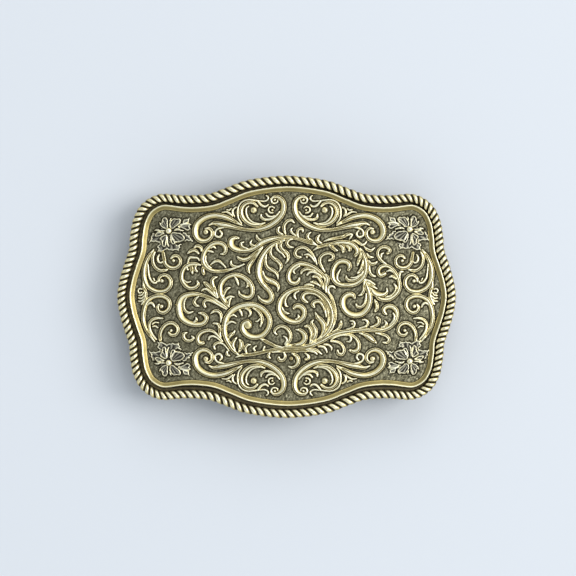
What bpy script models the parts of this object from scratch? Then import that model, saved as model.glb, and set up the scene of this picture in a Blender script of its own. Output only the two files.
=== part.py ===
"""Western belt buckle: crowned plate, rope edge, rail, soldered scroll overlays, flowers, bail and prong.

The front faces +Z and the buckle lies on its back hardware, so z = 0 is the prong's tip and the
ears' undersides. Shapes are worked out in millimetres and scaled to metres as they become meshes.
"""

import math

import bmesh
import bpy

MM = 0.001
WELD_DISTANCE = 0.0000005
CUT_DISTANCE = 0.0000001
MERGE_DISTANCE = 0.00001
DISSOLVE_ANGLE = 0.001

# Outline of the rope edge: a quarter, from the right end round to the top, mirrored to the others.
QUARTER_OUTLINE = [
    (48.0, 0.0), (47.3, 5.0), (45.9, 9.75), (44.7, 13.4), (44.4, 17.0), (43.4, 22.1), (40.8, 26.5),
    (35.9, 29.1), (28.8, 28.8), (22.3, 29.15), (17.7, 30.7), (10.8, 33.1), (0.0, 34.3),
]
OUTLINE_POINTS = 96

# The plate is crowned about Y: flat in the middle, then bent back on a large radius.
FLAT_HALF_WIDTH = 6.0
CROWN_RADIUS = 400.0
BEND_STATION = 7.0
BEND_STATIONS = 6

BACK_Z = 8.4
PLATE_THICK = 1.8
GROUND_Z = BACK_Z + PLATE_THICK
FLANGE_THICK = 1.0
FLANGE_INSET = 0.3
CORE_INSET = 3.2
CORE_LIFT = 0.2
SOLDER_GAP = 0.12

ROPE_RADIUS = 1.25
ROPE_MARGIN = 0.05
ROPE_RESOLUTION = 2
RAIL_INSET = 4.1
RAIL_WIDTH = 1.5
RAIL_HEIGHT = 1.2

# Scroll overlays: a ribbon with sloping sides, as high as this share of its width.
RIBBON_HEIGHT = 0.85
RIBBON_TOP = 0.55
RIBBON_STEP = 1.05
RIBBON_LEAST_STEPS = 4
TIP_SCALE = 0.5
TAPER_LENGTH = 3.0

# The core and the rail sit a little off the rope's middle, and the ornament a little more.
RAIL_X = 0.4
RAIL_Y = 0.2

# The ornament's own centre, about which the border motifs mirror.
ORNAMENT_X = 0.75
ORNAMENT_Y = 0.4
QUADRANTS = {"ul": (-1, 1), "ur": (1, 1), "ll": (-1, -1), "lr": (1, -1)}

# Motifs that mirror about the ornament's centre, drawn upper left: name, width, spine.
BORDER_MOTIFS = [
    ("border_scroll", 1.2, [
        (-12.6, 20.4), (-15.0, 21.7), (-17.5, 22.7), (-20.5, 23.1), (-23.2, 22.5), (-25.2, 20.9),
        (-26.1, 18.7), (-25.6, 16.7), (-24.1, 15.8), (-22.2, 16.1), (-21.2, 17.6), (-21.8, 19.0),
        (-23.0, 19.2),
    ]),
    ("border_stem", 1.1, [
        (-20.6, 20.4), (-17.5, 20.2), (-15.0, 19.5), (-12.0, 19.0), (-9.5, 18.9), (-7.0, 19.2),
        (-4.5, 20.1), (-2.3, 21.7), (-0.9, 23.6), (-0.5, 25.4), (-1.0, 27.2), (-2.4, 28.2),
        (-3.8, 28.0), (-4.0, 27.0),
    ]),
    ("border_curl", 1.0, [
        (-7.6, 20.6), (-9.5, 20.7), (-11.2, 21.8), (-12.4, 23.6), (-12.4, 25.4), (-11.2, 26.6),
        (-9.6, 26.5), (-8.5, 25.4), (-9.2, 24.4),
    ]),
]

# Motifs that mirror about the rail's centre, drawn upper left: name, width, spine.
SIDE_MOTIFS = [
    ("side_scroll", 1.1, [
        (-37.5, 13.4), (-39.2, 11.0), (-40.3, 8.4), (-40.5, 6.0), (-40.1, 3.9), (-38.7, 2.4),
        (-36.5, 1.7), (-34.3, 2.1), (-33.0, 3.5), (-33.0, 5.1), (-34.2, 6.2), (-35.7, 5.9),
        (-36.1, 4.7),
    ]),
    ("side_curl", 1.0, [
        (-35.1, 12.1), (-34.7, 10.1), (-33.5, 8.6), (-31.7, 8.3), (-30.2, 9.3), (-30.1, 10.8),
        (-31.3, 11.7), (-32.3, 11.0),
    ]),
]

# Free scrollwork in the middle, which isn't mirrored: name, width, spine.
CENTRE_SCROLLS = [
    ("vine_top", 1.3, [
        (-13.8, 16.6), (-15.3, 16.6), (-16.0, 15.2), (-15.2, 13.9), (-13.2, 13.1), (-11.0, 13.0),
        (-8.9, 13.9), (-7.2, 15.2), (-5.0, 16.2), (-2.0, 16.8), (1.0, 16.8), (4.0, 16.1), (7.0, 15.0),
    ]),
    ("vine_bottom", 1.2, [
        (-14.0, -16.6), (-11.5, -16.3), (-8.5, -16.0), (-5.5, -15.3), (-2.5, -14.9), (1.0, -14.6),
        (5.0, -14.4), (8.3, -13.5), (11.0, -12.1), (13.5, -10.7), (16.0, -9.9), (19.0, -9.5),
        (22.0, -9.2), (25.0, -9.4), (28.0, -9.0), (30.2, -7.6), (31.2, -5.6), (30.7, -3.7),
        (29.0, -2.9), (27.7, -3.6),
    ]),
    ("frond_left", 1.4, [
        (-3.0, 15.0), (-5.2, 13.5), (-6.8, 11.3), (-7.8, 8.8), (-7.9, 6.5), (-7.3, 4.5), (-6.0, 2.8),
        (-4.6, 1.6), (-4.0, 0.2), (-4.8, -1.2), (-6.5, -1.4), (-7.8, -0.4),
    ]),
    ("curl_left", 1.1, [
        (-18.4, 12.3), (-17.5, 12.7), (-17.3, 14.0), (-18.4, 15.0), (-20.3, 15.0), (-22.2, 13.9),
        (-23.4, 12.0), (-23.5, 10.0), (-22.6, 8.4), (-20.8, 7.4), (-18.4, 7.2), (-16.0, 7.7),
        (-14.6, 8.2),
    ]),
    ("ring_left", 1.1, [
        (-13.3, 1.3), (-12.9, 0.2), (-11.5, -0.3), (-10.0, 0.2), (-9.4, 1.7), (-9.8, 3.6),
        (-11.2, 5.3), (-13.3, 6.3), (-15.6, 6.2), (-17.6, 5.2), (-18.9, 3.3), (-19.0, 1.2),
        (-18.2, -0.6), (-17.0, -2.0),
    ]),
    ("volute_left", 1.0, [
        (-25.2, 4.2), (-24.9, 3.2), (-26.0, 2.4), (-27.8, 2.6), (-29.2, 4.1), (-29.6, 6.1),
        (-28.9, 8.0), (-27.3, 9.2), (-25.3, 9.3),
    ]),
    ("scroll_left", 1.2, [
        (-24.2, -4.7), (-22.9, -5.4), (-22.9, -7.0), (-24.5, -7.9), (-27.0, -7.8), (-29.3, -6.5),
        (-30.5, -4.2), (-30.5, -1.8), (-29.3, 0.0), (-27.2, 0.8), (-24.8, 0.9), (-22.5, 0.3),
        (-20.4, -0.6),
    ]),
    ("hook_left", 0.8, [
        (-23.0, -2.7), (-23.2, -1.7), (-22.2, -1.3), (-20.5, -1.8), (-18.7, -2.8),
    ]),
    ("spiral_left", 1.3, [
        (-10.6, -7.7), (-12.0, -7.8), (-12.5, -9.3), (-11.0, -10.9), (-9.0, -11.4), (-6.8, -10.8),
        (-5.2, -9.0), (-4.9, -6.7), (-5.8, -4.5), (-8.0, -2.9), (-10.8, -2.3), (-13.7, -2.9),
        (-16.0, -4.7), (-17.3, -7.4), (-17.4, -10.2), (-16.5, -12.8), (-15.2, -14.7),
    ]),
    ("curl_low_left", 1.0, [
        (-24.2, -13.0), (-25.2, -11.8), (-24.8, -10.5), (-23.0, -9.6), (-21.0, -9.8), (-19.4, -10.7),
    ]),
    ("spiral_centre", 1.3, [
        (2.2, -3.0), (3.6, -2.7), (4.8, -3.8), (4.9, -5.4), (3.7, -6.8), (1.8, -7.0), (-0.3, -6.2),
        (-1.8, -4.6), (-2.2, -2.5), (-1.6, -0.4), (0.0, 1.2), (2.5, 2.1), (5.2, 2.3), (7.8, 1.8),
        (10.2, 0.5), (12.0, -1.5), (13.0, -4.0), (13.1, -6.5), (12.4, -8.7), (11.7, -9.9),
    ]),
    ("frond_low", 1.0, [(8.3, -5.2), (9.8, -6.5), (10.6, -8.2), (10.2, -10.2)]),
    ("leaf_low", 1.2, [(3.0, -9.3), (4.6, -9.9), (5.1, -11.4), (4.2, -12.8)]),
    ("ring_low", 0.9, [
        (-2.8, -10.1), (-3.3, -9.3), (-2.0, -8.5), (0.0, -8.8), (1.1, -10.3), (1.0, -12.2), (0.1, -13.3),
    ]),
    ("curl_low_right", 0.9, [
        (16.5, -11.2), (18.6, -11.3), (20.0, -12.6), (20.3, -14.2), (19.3, -15.2), (18.0, -15.0),
    ]),
    ("ring_right", 1.2, [
        (18.9, 0.1), (17.3, 0.5), (16.0, -0.5), (15.7, -2.2), (16.5, -3.9), (18.2, -5.0),
        (20.3, -5.1), (22.2, -3.9), (23.2, -2.0), (23.5, 0.2), (23.0, 2.4), (22.2, 4.2),
    ]),
    ("volute_right", 1.2, [
        (17.6, 8.0), (17.5, 9.3), (16.0, 10.1), (14.2, 9.5), (13.2, 7.8), (13.0, 5.8), (13.8, 4.1),
        (15.5, 3.4), (17.7, 3.3), (19.8, 4.1), (21.5, 5.7), (22.3, 7.9), (22.3, 10.2), (21.7, 12.0),
    ]),
    ("frond_right", 1.1, [
        (9.2, 13.8), (11.5, 14.5), (14.0, 15.1), (16.5, 15.3), (18.6, 14.5), (19.9, 13.0), (19.5, 11.8),
    ]),
    ("frond_centre", 1.2, [
        (3.4, 4.9), (2.6, 4.0), (1.2, 4.4), (0.7, 5.9), (1.2, 7.6), (2.7, 8.9), (4.7, 9.2),
        (6.7, 8.6), (8.5, 7.6), (9.9, 6.0), (10.6, 4.2), (10.8, 2.5),
    ]),
    ("scroll_right", 1.1, [
        (27.5, 6.5), (26.3, 6.4), (26.1, 7.7), (27.5, 8.7), (29.3, 8.2), (30.9, 6.6), (31.7, 4.4),
        (31.7, 2.2), (30.4, 0.3), (28.4, -0.6), (26.3, -0.4), (25.1, 0.6),
    ]),
]

# Corner flowers: the middle of the upper left one, and its leaves' outline about that middle.
FLOWER_X = -33.3
FLOWER_Y = 18.7
LEAF_OUTLINE = [
    (-2.0, 2.4), (0.5, 2.8), (3.4, 2.6), (6.0, 3.8), (5.4, 0.9), (4.4, -0.9), (6.8, -2.6),
    (4.0, -3.1), (2.4, -3.4), (3.0, -5.5), (0.0, -5.2), (-3.4, -5.5), (-2.8, -3.2), (-4.8, -3.0),
    (-4.5, -0.8), (-3.0, 0.2),
]
LEAF_THICK = 0.6
PETAL_THICK = 0.45
PETAL_RADIUS = 3.4
PETAL_WAVE = 0.7
PETAL_COUNT = 6
PETAL_STEPS = 6
BEAD_RADIUS = 0.75
BEAD_SEGMENTS = 12
BEAD_RINGS = 6

# Back hardware: a bail for a 38 mm strap, hinged in two ears, and a prong for the strap's holes.
WIRE_RADIUS = 1.5
HINGE_X = -18.0
HINGE_Z = 2.2
BAIL_REACH = 20.0
ARM_Y = 22.5
BAIL_CORNER = 4.0
HINGE_BEND = 2.0
WIRE_END_Y = 17.4
WIRE_RESOLUTION = 4
HINGE_BEND_STEPS = 6
BAIL_CORNER_STEPS = 8
EAR_THICK = 1.6
EAR_Y = 19.4
EAR_RADIUS = 2.2
EAR_TOP_HALF = 3.6
EAR_HOLE_RADIUS = 1.8
EAR_STEPS = 8
EAR_HOLE_STEPS = 24
BRACKET_LENGTH = 44.0
BRACKET_WIDTH = 10.0
BRACKET_THICK = 1.2
BRACKET_CORNER = 2.0
BRACKET_CORNER_STEPS = 4
BRACKET_MARGIN = 0.05

PRONG_X = 32.0
PAD_RADIUS = 4.5
PAD_THICK = 1.0
PAD_CHAMFER = 0.3
PAD_HOLE_RADIUS = 1.8
TENON_RADIUS = 1.5
SHANK_RADIUS = 2.1
HEAD_RADIUS = 2.7
HEAD_HEIGHT = 1.3
HEAD_CHAMFER = 0.4
ROUND_STEPS = 24


def clear_scene():
    for item in list(bpy.data.objects):
        bpy.data.objects.remove(item)


def make_collection(name):
    collection = bpy.data.collections.new(name)
    bpy.context.scene.collection.children.link(collection)
    return collection


def make_material(name, colour, metallic, roughness):
    material = bpy.data.materials.new(name)
    material.use_nodes = True
    shader = material.node_tree.nodes["Principled BSDF"]
    shader.inputs["Base Color"].default_value = (*colour, 1.0)
    shader.inputs["Metallic"].default_value = metallic
    shader.inputs["Roughness"].default_value = roughness
    return material


def crown(x):
    """How far the crowned plate has bent back at x."""
    return max(0.0, abs(x) - FLAT_HALF_WIDTH) ** 2 / (2.0 * CROWN_RADIUS)


def crown_slope(x):
    """The plate's rise in z per unit of x, taken toward the middle."""
    return max(0.0, abs(x) - FLAT_HALF_WIDTH) / CROWN_RADIUS


def spline_point(p0, p1, p2, p3, t):
    """A point between p1 and p2 on a Catmull-Rom spline."""
    return tuple(
        0.5 * (2 * b + (c - a) * t + (2 * a - 5 * b + 4 * c - d) * t ** 2 + (3 * b - a - 3 * c + d) * t ** 3)
        for a, b, c, d in zip(p0, p1, p2, p3)
    )


def dense_curve(points, closed, per_span=16):
    """A smooth curve through the points, as a fine polyline."""
    count = len(points)
    spans = count if closed else count - 1
    curve = []
    for i in range(spans):
        if closed:
            four = [points[(i + k) % count] for k in (-1, 0, 1, 2)]
        else:
            four = [points[min(max(i + k, 0), count - 1)] for k in (-1, 0, 1, 2)]
        curve += [spline_point(*four, j / per_span) for j in range(per_span)]
    curve.append(points[0] if closed else points[-1])
    return curve


def even_points(curve, count):
    """count + 1 points at equal distances along a polyline, its two ends among them."""
    lengths = [0.0]
    for a, b in zip(curve, curve[1:]):
        lengths.append(lengths[-1] + math.dist(a, b))
    points = []
    i = 0
    for k in range(count + 1):
        target = lengths[-1] * k / count
        while i < len(curve) - 2 and lengths[i + 1] < target:
            i += 1
        t = (target - lengths[i]) / (lengths[i + 1] - lengths[i])
        points.append(tuple(a + (b - a) * t for a, b in zip(curve[i], curve[i + 1])))
    return points


def buckle_outline(inset, shift_x=0.0, shift_y=0.0):
    """The buckle's outline moved inward by inset and then sideways, as a closed list of points."""
    quarter = QUARTER_OUTLINE
    left = [(-x, y) for x, y in reversed(quarter[:-1])]
    upper = quarter + left
    lower = [(x, -y) for x, y in reversed(upper[1:-1])]
    points = even_points(dense_curve(upper + lower, closed=True), OUTLINE_POINTS)[:-1]
    moved = []
    for i, (x, y) in enumerate(points):
        ahead = points[(i + 1) % OUTLINE_POINTS]
        behind = points[i - 1]
        tx = ahead[0] - behind[0]
        ty = ahead[1] - behind[1]
        length = math.hypot(tx, ty)
        moved.append((x - ty / length * inset + shift_x, y + tx / length * inset + shift_y))
    return moved


def new_curve(name, points, closed, radii=None):
    """A poly curve object in metres through points given in millimetres."""
    data = bpy.data.curves.new(name, "CURVE")
    flat = len(points[0]) == 2
    data.dimensions = "2D" if flat else "3D"
    data.render_resolution_u = 0
    spline = data.splines.new("POLY")
    spline.points.add(len(points) - 1)
    for i, point in enumerate(points):
        z = 0.0 if flat else point[2] * MM
        spline.points[i].co = (point[0] * MM, point[1] * MM, z, 1.0)
        spline.points[i].radius = radii[i] if radii else 1.0
    spline.use_cyclic_u = closed
    return bpy.data.objects.new(name, data)


def as_mesh(curve_object, collection, material):
    """Turn a curve object into a mesh object of the same name, with its caps welded."""
    bpy.context.scene.collection.objects.link(curve_object)
    evaluated = curve_object.evaluated_get(bpy.context.evaluated_depsgraph_get())
    mesh = bpy.data.meshes.new_from_object(evaluated)
    name = curve_object.name
    matrix = curve_object.matrix_world.copy()
    bpy.data.objects.remove(curve_object)
    shape = bmesh.new()
    shape.from_mesh(mesh)
    bmesh.ops.remove_doubles(shape, verts=shape.verts, dist=WELD_DISTANCE)
    bmesh.ops.recalc_face_normals(shape, faces=shape.faces)
    shape.to_mesh(mesh)
    shape.free()
    mesh.materials.clear()
    mesh.materials.append(material)
    item = bpy.data.objects.new(name, mesh)
    item.matrix_world = matrix
    collection.objects.link(item)
    return item


def extruded(name, outline, thick, collection, material, hole=None):
    """A flat plate with its underside at its own z = 0, drawn as a filled curve."""
    item = new_curve(name, outline, closed=True)
    if hole:
        spline = item.data.splines.new("POLY")
        spline.points.add(len(hole) - 1)
        for i, (x, y) in enumerate(hole):
            spline.points[i].co = (x * MM, y * MM, 0.0, 1.0)
        spline.use_cyclic_u = True
    item.data.fill_mode = "BOTH"
    item.data.extrude = thick / 2 * MM
    item = as_mesh(item, collection, material)
    for vertex in item.data.vertices:
        vertex.co.z += thick / 2 * MM
    return item


def cut_at_bend_stations(item):
    """Add edges across a flat plate where the crown bends it."""
    shape = bmesh.new()
    shape.from_mesh(item.data)
    bmesh.ops.dissolve_limit(shape, angle_limit=DISSOLVE_ANGLE, verts=shape.verts, edges=shape.edges)
    stations = [FLAT_HALF_WIDTH + BEND_STATION * i for i in range(BEND_STATIONS)]
    for x in [-s for s in stations] + stations:
        whole = shape.verts[:] + shape.edges[:] + shape.faces[:]
        bmesh.ops.bisect_plane(
            shape, geom=whole, plane_co=(x * MM, 0, 0), plane_no=(1, 0, 0), dist=CUT_DISTANCE,
        )
    bmesh.ops.triangulate(shape, faces=shape.faces)
    shape.to_mesh(item.data)
    shape.free()


def bend_to_crown(item):
    """Bend a mesh, made flat, over the plate's crown."""
    for vertex in item.data.vertices:
        x = (vertex.co.x + item.location.x) / MM
        vertex.co.z -= crown(x) * MM


def ribbon_profile(width, height, top_share, cutters):
    """The cross-section that a ribbon is swept with, its foot on the path."""
    half = width / 2
    shape = [(-half, 0.0), (half, 0.0), (half * top_share, height), (-half * top_share, height)]
    profile = new_curve("ribbon_profile", shape, closed=True)
    profile.hide_render = True
    profile.display_type = "WIRE"
    cutters.objects.link(profile)
    return profile


def tapered_radii(points, width):
    """A ribbon's width along its length, narrowing at both tips."""
    lengths = [0.0]
    for a, b in zip(points, points[1:]):
        lengths.append(lengths[-1] + math.dist(a, b))
    radii = []
    for s in lengths:
        from_tip = min(s, lengths[-1] - s, TAPER_LENGTH) / TAPER_LENGTH
        radii.append(width * (TIP_SCALE + (1 - TIP_SCALE) * from_tip))
    return radii


def make_ribbon(name, spine, width, profile, collection, material):
    """A scroll overlay: a ribbon along a smooth spine, bent to sit on the crowned ground."""
    curve = dense_curve(spine, closed=False)
    length = sum(math.dist(a, b) for a, b in zip(curve, curve[1:]))
    points = even_points(curve, max(RIBBON_LEAST_STEPS, round(length / RIBBON_STEP)))
    item = new_curve(name, points, closed=False, radii=tapered_radii(points, width))
    item.data.bevel_mode = "OBJECT"
    item.data.bevel_object = profile
    item.data.use_fill_caps = True
    item = as_mesh(item, collection, material)
    item.location.z = (GROUND_Z + SOLDER_GAP) * MM
    bend_to_crown(item)
    return item


def make_plate(collection, cutters, material):
    """The face plate: a thin flange under the rope and a thicker, crowned core."""
    flange = extruded("face_plate", buckle_outline(FLANGE_INSET), FLANGE_THICK, collection, material)
    outline = buckle_outline(CORE_INSET, RAIL_X, RAIL_Y)
    core = extruded("plate_core", outline, PLATE_THICK - CORE_LIFT, cutters, material)
    core.location.z = CORE_LIFT * MM
    core.hide_render = True
    core.display_type = "WIRE"
    join = flange.modifiers.new("core", "BOOLEAN")
    join.operation = "UNION"
    join.object = core
    evaluated = flange.evaluated_get(bpy.context.evaluated_depsgraph_get())
    flange.data = bpy.data.meshes.new_from_object(evaluated)
    flange.modifiers.clear()
    bpy.data.objects.remove(core)
    flange.location.z = BACK_Z * MM
    cut_at_bend_stations(flange)
    bend_to_crown(flange)
    return flange


def make_rope(collection, material):
    """The rope edge, a plain round wire here, laid on the flange."""
    item = new_curve("rope_edge", buckle_outline(ROPE_RADIUS + ROPE_MARGIN), closed=True)
    item.data.bevel_depth = ROPE_RADIUS * MM
    item.data.bevel_resolution = ROPE_RESOLUTION
    item = as_mesh(item, collection, material)
    item.location.z = (BACK_Z + FLANGE_THICK + SOLDER_GAP + ROPE_RADIUS) * MM
    bend_to_crown(item)
    item.data.shade_smooth()


def make_rail(collection, cutters, material):
    """The raised rail between the rope's channel and the ornament."""
    item = new_curve("inner_rail", buckle_outline(RAIL_INSET, RAIL_X, RAIL_Y), closed=True)
    item.data.bevel_mode = "OBJECT"
    item.data.bevel_object = ribbon_profile(RAIL_WIDTH, RAIL_HEIGHT, RIBBON_TOP, cutters)
    item = as_mesh(item, collection, material)
    item.location.z = (GROUND_Z + SOLDER_GAP) * MM
    bend_to_crown(item)


def mirrored(points, side, centre_x=ORNAMENT_X, centre_y=ORNAMENT_Y):
    """Points drawn for the upper left quadrant, moved to the quadrant that side names."""
    x_sign, y_sign = side
    return [(centre_x - x_sign * (x - centre_x), centre_y + y_sign * (y - centre_y)) for x, y in points]


def make_scrolls(collection, cutters, material):
    """Every scroll overlay: the mirrored motifs four times, then the free scrollwork."""
    profile = ribbon_profile(1.0, RIBBON_HEIGHT, RIBBON_TOP, cutters)
    for place, side in QUADRANTS.items():
        for name, width, spine in BORDER_MOTIFS:
            points = mirrored(spine, side)
            make_ribbon(f"{name}_{place}", points, width, profile, collection, material)
        for name, width, spine in SIDE_MOTIFS:
            points = mirrored(spine, side, RAIL_X, RAIL_Y)
            make_ribbon(f"{name}_{place}", points, width, profile, collection, material)
    for name, width, spine in CENTRE_SCROLLS:
        make_ribbon(name, spine, width, profile, collection, material)


def petal_outline():
    """A round outline with a wave for each petal."""
    outline = []
    steps = PETAL_COUNT * PETAL_STEPS
    for i in range(steps):
        angle = math.tau * i / steps
        radius = PETAL_RADIUS + PETAL_WAVE * math.cos(PETAL_COUNT * angle)
        outline.append((radius * math.cos(angle), radius * math.sin(angle)))
    return outline


def make_flowers(collection, material, bead_material):
    """The corner flowers: serrated leaves, a ring of petals and a round bead."""
    leaf_z = GROUND_Z + SOLDER_GAP
    petal_z = leaf_z + LEAF_THICK + SOLDER_GAP
    bead_z = petal_z + PETAL_THICK + SOLDER_GAP + BEAD_RADIUS
    for place, side in QUADRANTS.items():
        centre = mirrored([(FLOWER_X, FLOWER_Y)], side)[0]
        arms = mirrored([(FLOWER_X + x, FLOWER_Y + y) for x, y in LEAF_OUTLINE], side)
        leaves = extruded(f"flower_leaves_{place}", arms, LEAF_THICK, collection, material)
        leaves.location.z = leaf_z * MM
        bend_to_crown(leaves)
        ring = [(centre[0] + x, centre[1] + y) for x, y in petal_outline()]
        petals = extruded(f"flower_petals_{place}", ring, PETAL_THICK, collection, material)
        petals.location.z = petal_z * MM
        bend_to_crown(petals)
        mesh = bpy.data.meshes.new(f"flower_bead_{place}")
        shape = bmesh.new()
        bmesh.ops.create_uvsphere(
            shape, u_segments=BEAD_SEGMENTS, v_segments=BEAD_RINGS, radius=BEAD_RADIUS * MM,
        )
        shape.to_mesh(mesh)
        shape.free()
        mesh.shade_smooth()
        mesh.materials.append(bead_material)
        bead = bpy.data.objects.new(f"flower_bead_{place}", mesh)
        bead.location = (centre[0] * MM, centre[1] * MM, (bead_z - crown(centre[0])) * MM)
        collection.objects.link(bead)


def arc(centre_x, centre_y, radius, start, end, steps):
    """Points on an arc, its angles in degrees."""
    points = []
    for i in range(steps + 1):
        angle = math.radians(start + (end - start) * i / steps)
        points.append((centre_x + radius * math.cos(angle), centre_y + radius * math.sin(angle)))
    return points


def make_bracket(collection, cutters, material):
    """The bail bracket: a base under the plate with two pierced ears for the bail's ends."""
    half_x = BRACKET_WIDTH / 2 - BRACKET_CORNER
    half_y = BRACKET_LENGTH / 2 - BRACKET_CORNER
    outline = []
    corners = [(half_x, half_y, 0), (-half_x, half_y, 90), (-half_x, -half_y, 180), (half_x, -half_y, 270)]
    for x, y, start in corners:
        outline += arc(x, y, BRACKET_CORNER, start, start + 90, BRACKET_CORNER_STEPS)
    base = extruded("bail_bracket", outline, BRACKET_THICK, collection, material)
    top_z = BACK_Z - crown(HINGE_X) - SOLDER_GAP - BRACKET_MARGIN
    base.location = (HINGE_X * MM, 0.0, (top_z - BRACKET_THICK) * MM)
    base.rotation_euler.y = -crown_slope(HINGE_X)
    ear_top = top_z - BRACKET_THICK / 2 - HINGE_Z
    shape = arc(0.0, 0.0, EAR_RADIUS, 180, 360, EAR_STEPS)
    shape += [(EAR_TOP_HALF, ear_top), (-EAR_TOP_HALF, ear_top)]
    hole = arc(0.0, 0.0, EAR_HOLE_RADIUS, 0, 360, EAR_HOLE_STEPS)[:-1]
    for side in (-1, 1):
        ear = extruded("ear", shape, EAR_THICK, cutters, material, hole=hole)
        ear.location = (HINGE_X * MM, (side * EAR_Y + EAR_THICK / 2) * MM, HINGE_Z * MM)
        ear.rotation_euler.x = math.radians(90)
        ear.hide_render = True
        ear.display_type = "WIRE"
        join = base.modifiers.new("ear", "BOOLEAN")
        join.operation = "UNION"
        join.object = ear


def make_bail(collection, material):
    """The bail: one wire from ear to ear round the strap's path, hinged at its bent ends."""
    reach = BAIL_REACH
    bend = arc(-HINGE_BEND, ARM_Y - HINGE_BEND, HINGE_BEND, 0, 90, HINGE_BEND_STEPS)
    corner = arc(-reach + BAIL_CORNER, ARM_Y - BAIL_CORNER, BAIL_CORNER, 90, 180, BAIL_CORNER_STEPS)
    half = [(0.0, WIRE_END_Y)] + bend + corner
    path = [(x, y, 0.0) for x, y in half] + [(x, -y, 0.0) for x, y in reversed(half)]
    axis = bpy.data.objects.new("bail_axis", None)
    axis.location = (HINGE_X * MM, 0.0, HINGE_Z * MM)
    axis.rotation_euler.y = -math.asin((HINGE_Z - WIRE_RADIUS) / reach)
    collection.objects.link(axis)
    item = new_curve("bail", path, closed=False)
    item.data.bevel_depth = WIRE_RADIUS * MM
    item.data.bevel_resolution = WIRE_RESOLUTION
    item.data.use_fill_caps = True
    item = as_mesh(item, collection, material)
    item.parent = axis
    item.data.shade_smooth()


def turned(name, profile, closed, collection, material):
    """A turned solid: a profile of (radius, z) points, down its outer side, round its own Z."""
    mesh = bpy.data.meshes.new(name)
    edges = [(i, i + 1) for i in range(len(profile) - 1)]
    if closed:
        edges.append((len(profile) - 1, 0))
    mesh.from_pydata([(r * MM, 0.0, z * MM) for r, z in profile], edges, [])
    mesh.materials.append(material)
    item = bpy.data.objects.new(name, mesh)
    screw = item.modifiers.new("turn", "SCREW")
    screw.steps = ROUND_STEPS
    screw.render_steps = ROUND_STEPS
    screw.use_merge_vertices = True
    screw.merge_threshold = MERGE_DISTANCE
    collection.objects.link(item)
    return item


def make_prong(collection, material):
    """The prong that the strap's holes go over, and the pad that it is set in."""
    top = BACK_Z - crown(PRONG_X) - SOLDER_GAP
    pad_profile = [
        (PAD_HOLE_RADIUS, 0.0), (PAD_RADIUS - PAD_CHAMFER, 0.0), (PAD_RADIUS, -PAD_CHAMFER),
        (PAD_RADIUS, -PAD_THICK), (PAD_HOLE_RADIUS, -PAD_THICK),
    ]
    pad = turned("prong_base", pad_profile, True, collection, material)
    pad.location = (PRONG_X * MM, 0.0, top * MM)
    pad.rotation_euler.y = crown_slope(PRONG_X)
    tilt = crown_slope(PRONG_X) * SHANK_RADIUS
    shoulder = top - PAD_THICK - tilt - SOLDER_GAP
    prong_profile = [
        (0.0, top - tilt), (TENON_RADIUS, top - tilt), (TENON_RADIUS, shoulder), (SHANK_RADIUS, shoulder),
        (SHANK_RADIUS, HEAD_HEIGHT), (HEAD_RADIUS, HEAD_HEIGHT / 2), (HEAD_RADIUS - HEAD_CHAMFER, 0.0),
        (0.0, 0.0),
    ]
    prong = turned("prong", prong_profile, False, collection, material)
    prong.location = (PRONG_X * MM, 0.0, 0.0)


def main():
    clear_scene()
    parts = make_collection("belt_buckle")
    cutters = make_collection("cutters")
    ground = make_material("dark_brass", (0.13, 0.12, 0.09), 1.0, 0.5)
    relief = make_material("antique_brass", (0.52, 0.43, 0.23), 1.0, 0.35)
    bright = make_material("worn_brass", (0.62, 0.54, 0.32), 1.0, 0.3)
    hardware = make_material("hardware_brass", (0.4, 0.33, 0.19), 1.0, 0.4)
    make_plate(parts, cutters, ground)
    make_rope(parts, bright)
    make_rail(parts, cutters, relief)
    make_scrolls(parts, cutters, relief)
    make_flowers(parts, relief, bright)
    make_bracket(parts, cutters, hardware)
    make_bail(parts, hardware)
    make_prong(parts, hardware)


main()
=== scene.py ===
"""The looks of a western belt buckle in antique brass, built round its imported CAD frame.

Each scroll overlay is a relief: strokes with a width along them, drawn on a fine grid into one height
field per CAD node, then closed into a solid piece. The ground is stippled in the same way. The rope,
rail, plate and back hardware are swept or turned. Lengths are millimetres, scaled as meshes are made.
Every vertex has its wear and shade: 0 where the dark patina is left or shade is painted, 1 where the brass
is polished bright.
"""

import math

import bpy
import numpy as np
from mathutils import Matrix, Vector
from mathutils.geometry import tessellate_polygon


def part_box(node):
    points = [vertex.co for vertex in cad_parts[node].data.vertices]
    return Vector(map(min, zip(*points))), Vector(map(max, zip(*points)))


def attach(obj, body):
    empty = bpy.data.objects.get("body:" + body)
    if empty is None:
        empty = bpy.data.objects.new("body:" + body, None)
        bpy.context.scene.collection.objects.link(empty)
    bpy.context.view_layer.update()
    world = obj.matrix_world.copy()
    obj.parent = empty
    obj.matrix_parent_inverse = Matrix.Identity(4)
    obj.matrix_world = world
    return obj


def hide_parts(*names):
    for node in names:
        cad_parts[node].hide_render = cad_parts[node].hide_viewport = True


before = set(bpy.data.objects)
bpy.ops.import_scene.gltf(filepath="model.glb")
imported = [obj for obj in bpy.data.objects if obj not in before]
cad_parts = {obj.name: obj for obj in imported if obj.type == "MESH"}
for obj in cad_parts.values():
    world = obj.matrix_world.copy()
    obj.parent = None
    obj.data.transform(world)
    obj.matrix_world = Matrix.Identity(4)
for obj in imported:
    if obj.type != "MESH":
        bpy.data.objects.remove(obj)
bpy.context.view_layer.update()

MM = 0.001

# Outline of the rope edge: a quarter, from the right end round to the top, mirrored to the others.
QUARTER_OUTLINE = [
    (48.0, 0.0), (47.3, 5.0), (45.9, 9.75), (44.7, 13.4), (44.4, 17.0), (43.4, 22.1), (40.8, 26.5),
    (35.9, 29.1), (28.8, 28.8), (22.3, 29.15), (17.7, 30.7), (10.8, 33.1), (0.0, 34.3),
]

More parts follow.
